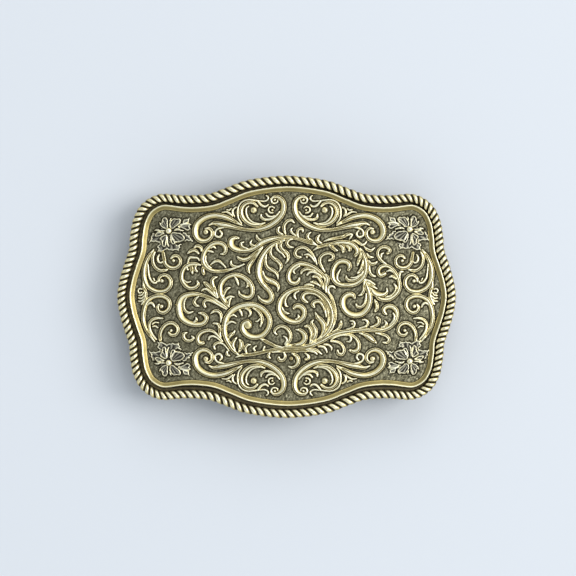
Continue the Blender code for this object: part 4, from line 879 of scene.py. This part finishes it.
def ring_solid(name, rings, material, closed, centre_ends=False):
    """Closed rings of vertices, each with its wear, joined in order. closed joins the last to the first."""
    size = len(rings[0][0])
    vertices = np.vstack([ring for ring, _ in rings])
    wear_and_shade = np.concatenate([np.broadcast_to(value, size) for _, value in rings])
    faces = []
    for k in range(len(rings) if closed else len(rings) - 1):
        a = k * size
        b = (k + 1) % len(rings) * size
        for i in range(size):
            j = (i + 1) % size
            faces.append((a + i, a + j, b + j, b + i))
    if centre_ends:
        first = len(vertices)
        last_ring = first - size
        vertices = np.vstack([vertices, vertices[:size].mean(axis=0), vertices[-size:].mean(axis=0)])
        wear_and_shade = np.concatenate([wear_and_shade, [rings[0][1], rings[-1][1]]])
        for i in range(size):
            j = (i + 1) % size
            faces.append((first, j, i))
            faces.append((first + 1, last_ring + i, last_ring + j))
    return new_object(name, vertices, faces, material, wear_and_shade)


# Mottling of the patina: the sizes of a broad and a fine noise, and the fine one's share.
BROAD_MOTTLE = 2.4
FINE_MOTTLE = 0.28
FINE_SHARE = 0.8
PATINA_DARK = (0.017, 0.012, 0.003)

# The back hardware's tarnish clouds and its fine marks, drawn out one way.
TARNISH_SIZE = 3.0
MARK_SIZE = 0.3
MARK_STRETCH = (1.0, 6.0, 1.0)
MARK_DEPTH = 0.01


def node_material(name):
    """A new material, its node tree and its Principled shader."""
    material = bpy.data.materials.new(name)
    material.use_nodes = True
    tree = material.node_tree
    return material, tree, tree.nodes["Principled BSDF"]


def add_noise(tree, size, detail, stretch=None):
    """Noise in the piece's own space, its features about size millimetres across."""
    coordinates = tree.nodes.new("ShaderNodeTexCoord")
    noise = tree.nodes.new("ShaderNodeTexNoise")
    noise.inputs["Scale"].default_value = 1.0 / (size * MM)
    noise.inputs["Detail"].default_value = detail
    source = coordinates.outputs["Object"]
    if stretch:
        mapping = tree.nodes.new("ShaderNodeMapping")
        mapping.inputs["Scale"].default_value = stretch
        tree.links.new(source, mapping.inputs["Vector"])
        source = mapping.outputs["Vector"]
    tree.links.new(source, noise.inputs["Vector"])
    return noise.outputs["Fac"]


def add_mottle(tree, size, detail, amount):
    """Noise spread about zero, amount wide."""
    node = tree.nodes.new("ShaderNodeMath")
    node.operation = "MULTIPLY_ADD"
    tree.links.new(add_noise(tree, size, detail), node.inputs[0])
    node.inputs[1].default_value = amount
    node.inputs[2].default_value = -amount / 2
    return node.outputs[0]


def add_sum(tree, a, b, clamp=False):
    """The sum of two sockets."""
    node = tree.nodes.new("ShaderNodeMath")
    node.operation = "ADD"
    node.use_clamp = clamp
    tree.links.new(a, node.inputs[0])
    tree.links.new(b, node.inputs[1])
    return node.outputs[0]


def add_ramp(tree, value, stops):
    """A colour ramp of (place, colour) stops; a colour may be one grey number."""
    ramp = tree.nodes.new("ShaderNodeValToRGB")
    elements = ramp.color_ramp.elements
    while len(elements) < len(stops):
        elements.new(0.5)
    for element, (place, colour) in zip(elements, stops):
        element.position = place
        rgb = (colour,) * 3 if isinstance(colour, float) else colour
        element.color = (*rgb, 1.0)
    tree.links.new(value, ramp.inputs["Fac"])
    return ramp.outputs["Color"]


def add_bump(tree, shader, height, depth):
    """Bump from a height socket, depth millimetres from its lowest to its highest."""
    bump = tree.nodes.new("ShaderNodeBump")
    bump.inputs["Strength"].default_value = 1.0
    bump.inputs["Distance"].default_value = depth * MM
    tree.links.new(height, bump.inputs["Height"])
    tree.links.new(bump.outputs["Normal"], shader.inputs["Normal"])


def patina_material(name, colours, roughness, metal, grain_size, grain_depth, mottle):
    """Antiqued brass: its colour, polish and metal follow the wear and shade attribute, broken up by noise.
    """
    material, tree, shader = node_material(name)
    attribute = tree.nodes.new("ShaderNodeAttribute")
    attribute.attribute_name = "wear_and_shade"
    broad = add_mottle(tree, BROAD_MOTTLE, detail=3.0, amount=mottle)
    fine = add_mottle(tree, FINE_MOTTLE, detail=2.0, amount=FINE_SHARE * mottle)
    value = add_sum(tree, attribute.outputs["Fac"], broad)
    value = add_sum(tree, value, fine, clamp=True)
    tree.links.new(add_ramp(tree, value, colours), shader.inputs["Base Color"])
    tree.links.new(add_ramp(tree, value, roughness), shader.inputs["Roughness"])
    tree.links.new(add_ramp(tree, value, metal), shader.inputs["Metallic"])
    add_bump(tree, shader, add_noise(tree, grain_size, detail=3.0), grain_depth)
    return material


def relief_material():
    """Golden brass for the scrolls, rail, rope and beads."""
    colours = [(0.0, PATINA_DARK), (0.2, (0.09, 0.068, 0.025)), (0.45, (0.45, 0.36, 0.14)),
               (0.72, (0.84, 0.735, 0.41)), (1.0, (1.0, 0.95, 0.7))]
    return patina_material("antique_brass_relief", colours, [(0.0, 0.7), (0.4, 0.46), (1.0, 0.34)],
                           [(0.0, 0.5), (0.35, 1.0)], grain_size=0.2, grain_depth=0.015, mottle=0.12)


def flower_material():
    """Paler brass for the flowers, greyer where it is dark."""
    colours = [(0.0, PATINA_DARK), (0.2, (0.085, 0.08, 0.062)), (0.45, (0.3, 0.28, 0.21)),
               (0.72, (0.84, 0.76, 0.48)), (1.0, (1.0, 0.95, 0.72))]
    return patina_material("silvered_flowers", colours, [(0.0, 0.7), (0.4, 0.4), (1.0, 0.34)],
                           [(0.0, 0.5), (0.35, 1.0)], grain_size=0.2, grain_depth=0.015, mottle=0.12)


def ground_material():
    """Blackened brass for the stippled ground."""
    colours = [(0.0, PATINA_DARK), (0.3, (0.085, 0.076, 0.042)), (0.6, (0.225, 0.205, 0.125)),
               (1.0, (0.52, 0.48, 0.32))]
    return patina_material("stippled_ground", colours, [(0.0, 0.8), (0.5, 0.5), (1.0, 0.4)],
                           [(0.0, 0.5), (0.5, 0.95)], grain_size=0.22, grain_depth=0.03, mottle=0.04)


def plate_material():
    """Dull brass for the plate's back and edges."""
    colours = [(0.0, PATINA_DARK), (0.35, (0.12, 0.1, 0.06)), (0.6, (0.3, 0.25, 0.14)),
               (1.0, (0.6, 0.52, 0.32))]
    return patina_material("plate_brass", colours, [(0.0, 0.7), (0.5, 0.5), (1.0, 0.35)],
                           [(0.0, 0.6), (0.4, 1.0)], grain_size=0.5, grain_depth=0.02, mottle=0.2)


def hardware_material():
    """Plain aged brass for the back: a soft cloudy tarnish and fine handling marks."""
    material, tree, shader = node_material("hardware_brass_plain")
    cloud = add_noise(tree, TARNISH_SIZE, detail=4.0)
    colour = add_ramp(tree, cloud, [(0.3, (0.2, 0.16, 0.08)), (0.5, (0.42, 0.35, 0.19)),
                                    (0.7, (0.6, 0.52, 0.31))])
    tree.links.new(colour, shader.inputs["Base Color"])
    tree.links.new(add_ramp(tree, cloud, [(0.3, 0.5), (0.7, 0.34)]), shader.inputs["Roughness"])
    shader.inputs["Metallic"].default_value = 1.0
    add_bump(tree, shader, add_noise(tree, MARK_SIZE, detail=3.0, stretch=MARK_STRETCH), MARK_DEPTH)
    return material


def place(item, body, slot, node):
    """Ride a piece on its body and hide the CAD node that it stands for. The slot is not used."""
    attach(item, body)
    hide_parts(node)


def finish_relief(name, relief, near_ground, material):
    """Close a relief into its piece, and note on the ground's grid how near each point is to it."""
    rows = slice(relief.j0, relief.j0 + len(relief.y))
    columns = slice(relief.i0, relief.i0 + len(relief.x))
    near_ground[rows, columns] = np.maximum(near_ground[rows, columns], relief.edge)
    keep = relief.height > -WALL_FOOT
    item = grid_solid(name, relief.x, relief.y, relief.height, keep, relief.wear_and_shade, material)
    place(item, "buckle", "antique_brass", name)


def mirrored(points, side, centre):
    """Points drawn for the upper left quadrant, moved to the quadrant that side names."""
    x_sign, y_sign = side
    return [(centre[0] - x_sign * (p[0] - centre[0]), centre[1] + y_sign * (p[1] - centre[1]), *p[2:])
            for p in points]


def make_scroll(name, strokes, near_ground, material):
    """One scroll overlay: its strokes drawn into a relief, closed into a solid piece."""
    relief = Relief(np.array([p[:2] for stroke in strokes for p in stroke]))
    for stroke in strokes:
        if len(stroke) == 1:
            relief.bulb(*stroke[0])
        else:
            relief.stroke(stroke)
    relief.darken_creases()
    finish_relief(name, relief, near_ground, material)


def make_scrolls(near_ground, material):
    """The mirrored scrolls of the borders and sides, then the free scrolls of the middle."""
    for place_name, side in QUADRANTS.items():
        for name, strokes in BORDER_MOTIFS.items():
            moved = [mirrored(stroke, side, ORNAMENT_CENTRE) for stroke in strokes]
            make_scroll(f"{name}_{place_name}", moved, near_ground, material)
        for name, strokes in (SIDE_LOWER if side[1] < 0 else SIDE_UPPER).items():
            moved = [mirrored(stroke, (side[0], 1), RAIL_CENTRE) for stroke in strokes]
            make_scroll(f"{name}_{place_name}", moved, near_ground, material)
    for name, strokes in CENTRE_SCROLLS.items():
        make_scroll(name, strokes, near_ground, material)


# A flower's layers: heights above the ground of an edge, a face and a rim, and how many veins go round.
LEAF_LAYER = (0.1, 0.42, 0.6)
LEAF_VEINS = 22
PETAL_LAYER = (0.55, 0.72, 1.15)
PETAL_VEINS = 24


def flower_lines(outlines, centre, flip, rounded):
    """Outlines moved to a flower's centre and sampled closely, with round or straight sides."""
    lines = []
    for outline in outlines:
        points = [(centre[0] + flip[0] * x, centre[1] + flip[1] * y) for x, y in outline]
        if rounded:
            lines.append(smooth_line(points, closed=True, step=OUTLINE_STEP))
        else:
            lines.append(straight_line(points))
    return lines


def flower_relief(lines, layer, centre, veins):
    """One layer of a flower: a patch for each of its lines."""
    relief = Relief(np.vstack(lines))
    for line in lines:
        relief.patch(line, *layer, centre, veins)
    return relief


def make_flowers(near_ground, material, bead_material):
    """The corner flowers: serrated leaves, rimmed petals over them and a bead."""
    for place_name, side in QUADRANTS.items():
        flip = (-side[0], -side[1])
        lift = RIGHT_LIFT if side[0] > 0 else 0.0
        centre = (ORNAMENT_CENTRE[0] + side[0] * (ORNAMENT_CENTRE[0] - BEAD_X), side[1] * BEAD_Y + lift)
        petal_lines = flower_lines(PETALS, centre, flip, rounded=True)
        leaf_lines = flower_lines(LEAVES, centre, flip, rounded=False)
        leaves = flower_relief(leaf_lines, LEAF_LAYER, centre, LEAF_VEINS)
        # Painted shadow on the leaves round the petals.
        leaves.paint_shadow_round(petal_lines)
        finish_relief(f"flower_leaves_{place_name}", leaves, near_ground, material)
        petals = flower_relief(petal_lines, PETAL_LAYER, centre, PETAL_VEINS)
        finish_relief(f"flower_petals_{place_name}", petals, near_ground, material)
        make_bead(f"flower_bead_{place_name}", centre, bead_material)


# A bead is a ball flattened a little. Its wear rises from its foot, between two shares of its height.
BEAD_RADIUS = 0.85
BEAD_FLATNESS = 0.85
BEAD_HEIGHT = 1.05
BEAD_WEAR = (0.35, 0.9)
BEAD_PATINA = (-0.1, 0.8)
BEAD_RINGS = 20
BEAD_STEPS = 36


def make_bead(name, centre, material):
    """A flower's bead."""
    vertices = [(0.0, 0.0, -1.0)]
    for i in range(1, BEAD_RINGS):
        polar = math.pi * i / BEAD_RINGS
        for j in range(BEAD_STEPS):
            angle = math.tau * j / BEAD_STEPS
            vertices.append((math.sin(polar) * math.cos(angle), math.sin(polar) * math.sin(angle),
                             -math.cos(polar)))
    vertices.append((0.0, 0.0, 1.0))
    faces = []
    top_ring = 1 + (BEAD_RINGS - 2) * BEAD_STEPS
    for j in range(BEAD_STEPS):
        following = (j + 1) % BEAD_STEPS
        faces.append((0, 1 + following, 1 + j))
        faces.append((top_ring + j, top_ring + following, len(vertices) - 1))
        for first in range(1, top_ring, BEAD_STEPS):
            a = first + j
            b = first + following
            faces.append((a, b, b + BEAD_STEPS, a + BEAD_STEPS))
    unit = np.array(vertices)
    radii = (BEAD_RADIUS, BEAD_RADIUS, BEAD_FLATNESS * BEAD_RADIUS)
    solid = unit * radii + (*centre, GROUND_Z + BEAD_HEIGHT - crown(centre[0]))
    low_wear, high_wear = BEAD_WEAR
    wear_and_shade = low_wear + (high_wear - low_wear) * smooth_step(*BEAD_PATINA, unit[:, 2])
    item = new_object(name, solid, faces, material, wear_and_shade)
    place(item, "buckle", "worn_brass", name)


# The stippled ground, which fills the rail: its random seed, stipple, and the recess beside reliefs, dark
# with patina and painted shade.
GROUND_CELL = 0.25
GROUND_INSET = 4.3
GROUND_OUTLINE_POINTS = 240
GROUND_SPAN_X = (-44.5, 45.5)
GROUND_SPAN_Y = (-31.0, 31.5)
STIPPLE_SEED = 11
STIPPLE_DEPTH = 0.05
STIPPLE_FINE = 0.9
STIPPLE_SOFT = 0.3
STIPPLE_WEAR = 0.2
RECESS_REACH = 0.2
RECESS_DEPTH = 0.06
RECESS_PATINA_AND_SHADE = 0.62
GROUND_WEAR = 0.54


def make_ground(near_ground, material):
    """The ground inside the rail: a struck stipple, sunk beside every relief and dark there with patina and
    painted shade.
    """
    rng = np.random.default_rng(STIPPLE_SEED)
    x = np.arange(*GROUND_SPAN_X, GROUND_CELL)
    y = np.arange(*GROUND_SPAN_Y, GROUND_CELL)
    gx, gy = np.meshgrid(x, y)
    keep = depth_inside(gx, gy, inset_outline(GROUND_INSET, GROUND_OUTLINE_POINTS, RAIL_CENTRE)) > 0.0
    struck = rng.standard_normal(gx.shape)
    stipple = STIPPLE_FINE * struck + STIPPLE_SOFT * box_blur(struck, 1)
    column = np.rint((gx - GRID_X) / CELL).astype(int)
    row = np.rint((gy - GRID_Y) / CELL).astype(int)
    near = bell(np.minimum(near_ground[row, column], 0.0), 0.0, RECESS_REACH)
    height = STIPPLE_DEPTH * stipple - RECESS_DEPTH * near
    # Patina and painted shade on the ground beside every relief.
    wear_and_shade = np.clip(GROUND_WEAR + STIPPLE_WEAR * stipple - RECESS_PATINA_AND_SHADE * near, 0.0, 1.0)
    item = grid_solid("ground", x, y, height, keep, wear_and_shade, material)
    place(item, "buckle", "dark_brass", "face_plate")


# The rail's cross-section: inset from the rope's outline, height above the ground, wear.
RAIL_PROFILE = [
    (3.1, -0.7, 0.0), (3.14, 0.3, 0.05), (3.22, 0.85, 0.25), (3.32, 1.12, 0.8), (3.46, 1.22, 1.0),
    (3.6, 1.16, 0.85), (3.74, 1.04, 0.42), (4.05, 0.86, 0.34), (4.35, 0.68, 0.36), (4.58, 0.54, 0.5),
    (4.68, 0.42, 0.5), (4.78, 0.15, 0.1), (4.84, -0.3, 0.0), (4.8, -0.7, 0.0),
]
RAIL_PROFILE_STEP = 0.09
RAIL_STEPS = 900
# How much further in the rail runs than the outline, by distance left or right of the middle.
RAIL_SHIFT = [
    (0.0, 0.05), (14.0, 0.12), (27.0, 0.45), (34.0, 0.15), (41.0, -0.05), (45.0, -0.1), (48.0, -0.4),
]


def make_rail(material):
    """The raised rail: a crest near its outer side and a broad slope toward the ornament."""
    first_inset = RAIL_PROFILE[0][0]
    flat = inset_outline(first_inset, RAIL_STEPS, RAIL_CENTRE)
    left = line_normals(flat)
    shift = np.interp(np.abs(flat[:, 0] - RAIL_CENTRE[0]), *zip(*RAIL_SHIFT))
    rings = []
    for inset, height, wear_and_shade in smooth_line(RAIL_PROFILE, closed=True, step=RAIL_PROFILE_STEP)[::-1]:
        moved = flat + left * (inset - first_inset + shift)[:, None]
        ring = np.column_stack([moved, GROUND_Z + height - crown(moved[:, 0])])
        rings.append((ring, min(max(wear_and_shade, 0.0), 1.0)))
    item = ring_solid("inner_rail", rings, material, closed=True)
    place(item, "buckle", "antique_brass", "inner_rail")


# The plate's cross-section round its edge, from the back to the core's top: inset, z, wear. From
# CORE_FROM inward it follows the core, which has the rail's centre.
FLANGE_Z = BACK_Z + FLANGE_THICK
CORE_TOP = GROUND_Z - 0.25
CORE_FROM = 2.9
PLATE_EDGE = [
    (0.75, BACK_Z, 0.5), (0.5, BACK_Z + 0.03, 0.6), (0.36, BACK_Z + 0.12, 0.75),
    (FLANGE_INSET, BACK_Z + 0.3, 0.6), (FLANGE_INSET, FLANGE_Z - 0.3, 0.35),
    (0.36, FLANGE_Z - 0.12, 0.25), (0.5, FLANGE_Z - 0.03, 0.1), (0.8, FLANGE_Z, 0.05),
    (1.9, FLANGE_Z + 0.02, 0.03), (2.3, FLANGE_Z + 0.3, 0.1), (2.55, FLANGE_Z + 0.52, 0.3),
    (2.75, FLANGE_Z + 0.62, 0.42), (3.0, FLANGE_Z + 0.68, 0.36), (CORE_INSET, FLANGE_Z + 0.72, 0.05),
    (CORE_INSET + 0.3, CORE_TOP, 0.05),
]
PLATE_STEPS = 480
BACK_RINGS = 14
BACK_INSET = 0.9
BACK_WEAR = 0.45
TOP_INSET = CORE_INSET + 0.4
TOP_WEAR = 0.1


def outline_ring(inset, z, centre=(0.0, 0.0), scale=1.0):
    """A ring of vertices that follows the outline, on the crown."""
    flat = inset_outline(inset, PLATE_STEPS, centre) * scale
    return np.column_stack([flat, z - crown(flat[:, 0])])


def make_plate(material):
    """The plate: a flat back, a flange with rounded edges and the core's wall, under the ground."""
    scales = [k / (BACK_RINGS + 1) for k in range(1, BACK_RINGS + 1)]
    rings = [(outline_ring(BACK_INSET, BACK_Z, scale=scale), BACK_WEAR) for scale in scales]
    for inset, z, wear_and_shade in PLATE_EDGE:
        rings.append((outline_ring(inset, z, RAIL_CENTRE if inset >= CORE_FROM else (0.0, 0.0)), wear_and_shade))
    rings += [(outline_ring(TOP_INSET, CORE_TOP, RAIL_CENTRE, scale), TOP_WEAR) for scale in scales[::-1]]
    rings = [(ring[::-1], wear_and_shade) for ring, wear_and_shade in rings]
    item = ring_solid("plate", rings, material, closed=False, centre_ends=True)
    place(item, "buckle", "dark_brass", "face_plate")


# The rope edge: a tube with two winding grooves, twisted closer at the sides.
ROPE_RADIUS = 1.24
ROPE_INSET = 1.3
ROPE_Z = FLANGE_Z + SOLDER_GAP + ROPE_RADIUS
GROOVE_DEPTH = 0.6
GROOVE_SHARPNESS = 2.2
OUTSIDE_FROM = 0.2
OUTSIDE_SHALLOW = 0.6
ROPE_WEAR = 0.86
OUTSIDE_PAINTED_SHADE = 0.34
GROOVE_DARK = 0.1
BUMP_BRIGHT = 0.58
STARTS = 2
MIDDLE_PITCH = 2.1
SIDE_PITCH = 1.66
MIDDLE_REACH = 20.0
SIDE_REACH = 40.0
ROPE_STEPS = 1900
ROPE_SIDES = 28


def rope_phase(line):
    """The twist along the rope, in radians: a whole number of turns, closer together at the sides."""
    sideways = smooth_step(MIDDLE_REACH, SIDE_REACH, np.abs(line[:, 0]))
    pitch = MIDDLE_PITCH + (SIDE_PITCH - MIDDLE_PITCH) * sideways
    step = np.linalg.norm(np.roll(line, -1, axis=0) - line, axis=1)
    turns = np.concatenate([[0.0], np.cumsum(step / (STARTS * pitch))])
    return math.tau * round(turns[-1]) * turns[:-1] / turns[-1]


def make_rope(material):
    """The rope edge: plump slanting bumps, dark in the grooves between them and with painted shade on the
    outer side.
    """
    line = inset_outline(ROPE_INSET, ROPE_STEPS)
    left = line_normals(line)
    z = ROPE_Z - crown(line[:, 0])
    phase = rope_phase(line)
    rings = []
    for side in range(ROPE_SIDES):
        angle = math.tau * side / ROPE_SIDES
        bump = 0.5 + 0.5 * np.cos(STARTS * (angle - phase))
        outside = smooth_step(OUTSIDE_FROM, 1.0, -math.cos(angle))
        groove = (1.0 - OUTSIDE_SHALLOW * outside) * (1.0 - bump) ** GROOVE_SHARPNESS
        radius = ROPE_RADIUS - GROOVE_DEPTH * groove
        ring = np.column_stack([line + left * (radius * math.cos(angle))[:, None],
                                z + radius * math.sin(angle)])
        # Painted shade darkens the rope's outer side.
        wear_and_shade = (ROPE_WEAR - OUTSIDE_PAINTED_SHADE * outside) * smooth_step(GROOVE_DARK, BUMP_BRIGHT, bump)
        rings.append((ring, wear_and_shade))
    item = ring_solid("rope_edge", rings, material, closed=True)
    place(item, "buckle", "worn_brass", "rope_edge")


# Back hardware. The bail's wire runs from ear to ear of its bracket.
WIRE_RADIUS = 1.5
WIRE_SIDES = 32
HINGE_X = -18.0
HINGE_Z = 2.2
BAIL_REACH = 20.0
ARM_Y = 22.5
BAIL_CORNER = 4.0
HINGE_BEND = 2.0
WIRE_END_Y = 17.4
WIRE_END_STRAIGHT = 1.5
ARC_POINTS = 15
# Rounding of the wire's ends: how far along from the end, and how much thinner the wire is there.
WIRE_END_RINGS = [(0.0, 0.45), (0.12, 0.15), (0.45, 0.0)]
BRACKET_BEVEL = 0.25
BRACKET_BEVEL_STEPS = 3

# The prong and its pad, which lies against the sloping back: profiles of (radius, z), turned.
PRONG_X = 32.0
PAD_TOP = BACK_Z - float(crown(PRONG_X)) - SOLDER_GAP
PAD_SLOPE = (PRONG_X - FLAT_HALF_WIDTH) / CROWN_RADIUS
PAD_PROFILE = [
    (4.3, -1.0), (4.45, -0.93), (4.5, -0.8), (4.5, -0.4), (4.4, -0.12), (4.1, 0.0), (1.8, 0.0), (1.8, -1.0),
]
PRONG_PROFILE = [
    (1.6, 0.0), (2.1, 0.04), (2.45, 0.17), (2.65, 0.4), (2.7, 0.68), (2.6, 0.95), (2.35, 1.2), (2.15, 1.45),
    (2.1, 1.8), (2.1, 6.0), (2.0, 6.18), (1.5, 6.18), (1.5, 7.3),
]
TURNED_STEPS = 72
HARDWARE_WEAR = 0.6


def tipped(x, y, z, origin, slope):
    """Points tipped about Y by slope and moved to origin."""
    return np.column_stack([origin[0] + x * math.cos(slope) + z * math.sin(slope),
                            origin[1] + y,
                            origin[2] - x * math.sin(slope) + z * math.cos(slope)])


def turned_rings(profile, origin, slope=0.0):
    """Rings of a profile of (radius, z) points turned about Z, then tipped about Y."""
    angle = np.linspace(0.0, math.tau, TURNED_STEPS, endpoint=False)
    return [(tipped(radius * np.cos(angle), radius * np.sin(angle), z, origin, slope), HARDWARE_WEAR)
            for radius, z in profile]


def quarter_arc(x, y, radius, start):
    """Points along a quarter circle from the angle start, in degrees."""
    angles = np.radians(start + np.linspace(0.0, 90.0, ARC_POINTS))
    return [(x + radius * math.cos(a), y + radius * math.sin(a)) for a in angles]


def bail_path():
    """The bail wire's middle line, in its own plane: x from the hinge, y along it."""
    half = [(0.0, WIRE_END_Y), (0.0, WIRE_END_Y + WIRE_END_STRAIGHT)]
    half += quarter_arc(-HINGE_BEND, ARM_Y - HINGE_BEND, HINGE_BEND, 0.0)
    half += quarter_arc(-BAIL_REACH + BAIL_CORNER, ARM_Y - BAIL_CORNER, BAIL_CORNER, 90.0)
    return np.array(half + [(x, -y) for x, y in reversed(half)])


def make_bail(material):
    """The bail: one round wire with rounded ends, resting on the floor at its far side."""
    path = bail_path()
    tangent = np.gradient(path, axis=0)
    tangent /= np.hypot(tangent[:, 0], tangent[:, 1])[:, None]
    slope = -math.asin((HINGE_Z - WIRE_RADIUS) / BAIL_REACH)
    angle = np.linspace(0.0, math.tau, WIRE_SIDES, endpoint=False)
    last = len(path) - 1
    spots = [(0, along, WIRE_RADIUS - thinner) for along, thinner in WIRE_END_RINGS]
    spots += [(k, 0.0, WIRE_RADIUS) for k in range(1, last)]
    spots += [(last, -along, WIRE_RADIUS - thinner) for along, thinner in reversed(WIRE_END_RINGS)]
    rings = []
    for k, along, radius in spots:
        tx, ty = tangent[k]
        x = path[k, 0] + tx * along - ty * radius * np.cos(angle)
        y = path[k, 1] + ty * along + tx * radius * np.cos(angle)
        ring = tipped(x, y, radius * np.sin(angle), (HINGE_X, 0.0, HINGE_Z), slope)
        rings.append((ring, HARDWARE_WEAR))
    item = ring_solid("bail", rings, material, closed=False, centre_ends=True)
    place(item, "bail", "hardware_brass", "bail")


def make_pad(material):
    """The prong's pad: a turned washer with a rounded rim."""
    rings = turned_rings(PAD_PROFILE, (PRONG_X, 0.0, PAD_TOP), PAD_SLOPE)
    item = ring_solid("prong_base", rings, material, closed=True)
    place(item, "buckle", "hardware_brass", "prong_base")


def make_prong(material):
    """The prong: a turned stud with a rounded head at the floor and a tenon in its pad."""
    rings = turned_rings(PRONG_PROFILE, (PRONG_X, 0.0, 0.0))
    item = ring_solid("prong", rings, material, closed=False, centre_ends=True)
    place(item, "buckle", "hardware_brass", "prong")


def soften_bracket(material):
    """The bail's bracket is the frame's own node, with its edges rounded."""
    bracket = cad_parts["bail_bracket"]
    bracket.data.materials.clear()
    bracket.data.materials.append(material)
    bevel = bracket.modifiers.new("soft edges", "BEVEL")
    bevel.width = BRACKET_BEVEL * MM
    bevel.segments = BRACKET_BEVEL_STEPS
    bevel.limit_method = "ANGLE"


# The floor's half size in millimetres. From here on the stage is in metres.
FLOOR_HALF = 2500.0
FLOOR_COLOUR = (0.638, 0.656, 0.68, 1.0)
FLOOR_ROUGHNESS = 0.9

# Soft round lights: place, diameter, power in watts.
LIGHTS = {
    "key": ((1.5, 0.25, 1.25), 1.3, 21.5),
    "fill": ((0.3, 1.7, 1.3), 1.2, 5.0),
    "glow": ((0.55, 0.05, 1.3), 0.35, 1.3),
}

# The surroundings are dim round one direction, near the camera's, and brighter lower down.
SKY_COLOUR = (0.86, 0.93, 1.0, 1.0)
SKY_TOP = 0.21
SKY_LOW = 1.04
SKY_DARK_TOWARD = (-0.42, 0.0, 0.91)
SKY_FADE_FROM = 0.75

# The camera looks straight down, and the view is this wide at the height of the buckle's ground.
CAMERA_HEIGHT = 0.85
VIEW_WIDTH = 0.1626
VIEW_CENTRE = (0.0004, 0.0025)
SENSOR_WIDTH = 36.0


def make_floor():
    """A plain pale floor under the buckle."""
    material, _, shader = node_material("floor_paper")
    shader.inputs["Base Color"].default_value = FLOOR_COLOUR
    shader.inputs["Roughness"].default_value = FLOOR_ROUGHNESS
    corners = [(FLOOR_HALF * x, FLOOR_HALF * y, 0.0) for x, y in ((-1, -1), (1, -1), (1, 1), (-1, 1))]
    floor = new_object("floor", corners, [(0, 1, 2, 3)], material, 0.0, smooth=False)


def make_light(name, place_at, size, power):
    """A round area light that faces the buckle."""
    light = bpy.data.lights.new(name, "AREA")
    light.shape = "DISK"
    light.size = size
    light.energy = power
    item = bpy.data.objects.new(name, light)
    item.location = place_at
    item.rotation_euler = (-item.location).to_track_quat("-Z", "Y").to_euler()
    bpy.context.scene.collection.objects.link(item)


def make_surroundings():
    """A pale sky, dim where the buckle would mirror it to the camera."""
    world = bpy.data.worlds.new("studio")
    world.use_nodes = True
    tree = world.node_tree
    background = tree.nodes["Background"]
    background.inputs["Color"].default_value = SKY_COLOUR
    direction = tree.nodes.new("ShaderNodeTexCoord")
    toward = tree.nodes.new("ShaderNodeVectorMath")
    toward.operation = "DOT_PRODUCT"
    toward.inputs[1].default_value = SKY_DARK_TOWARD
    fade = tree.nodes.new("ShaderNodeMapRange")
    fade.inputs["From Min"].default_value = SKY_FADE_FROM
    fade.inputs["From Max"].default_value = 1.0
    fade.inputs["To Min"].default_value = SKY_LOW
    fade.inputs["To Max"].default_value = SKY_TOP
    tree.links.new(direction.outputs["Generated"], toward.inputs[0])
    tree.links.new(toward.outputs["Value"], fade.inputs["Value"])
    tree.links.new(fade.outputs["Result"], background.inputs["Strength"])
    bpy.context.scene.world = world


def make_camera():
    """The camera, straight above."""
    data = bpy.data.cameras.new("camera")
    data.sensor_width = SENSOR_WIDTH
    data.lens = SENSOR_WIDTH * (CAMERA_HEIGHT - GROUND_Z * MM) / VIEW_WIDTH
    data.clip_start = 0.01
    data.clip_end = 20.0
    camera = bpy.data.objects.new("camera", data)
    camera.location = (*VIEW_CENTRE, CAMERA_HEIGHT)
    bpy.context.scene.collection.objects.link(camera)
    bpy.context.scene.camera = camera


def make_buckle():
    """Every piece of the buckle. The reliefs come first, because the ground is darkened beside them with
    patina and painted shade.
    """
    brass = relief_material()
    near_ground = np.full((GRID_ROWS, GRID_COLUMNS), -FAR)
    make_scrolls(near_ground, brass)
    make_flowers(near_ground, flower_material(), brass)
    make_ground(near_ground, ground_material())
    make_rail(brass)
    make_plate(plate_material())
    make_rope(brass)
    plain_brass = hardware_material()
    make_bail(plain_brass)
    make_pad(plain_brass)
    make_prong(plain_brass)
    soften_bracket(plain_brass)


def main():
    """The buckle on its floor, under its lights."""
    make_buckle()
    make_floor()
    for name, (place_at, size, power) in LIGHTS.items():
        make_light(name, place_at, size, power)
    make_surroundings()
    make_camera()


main()
bpy.context.scene.view_settings.view_transform = "Standard"
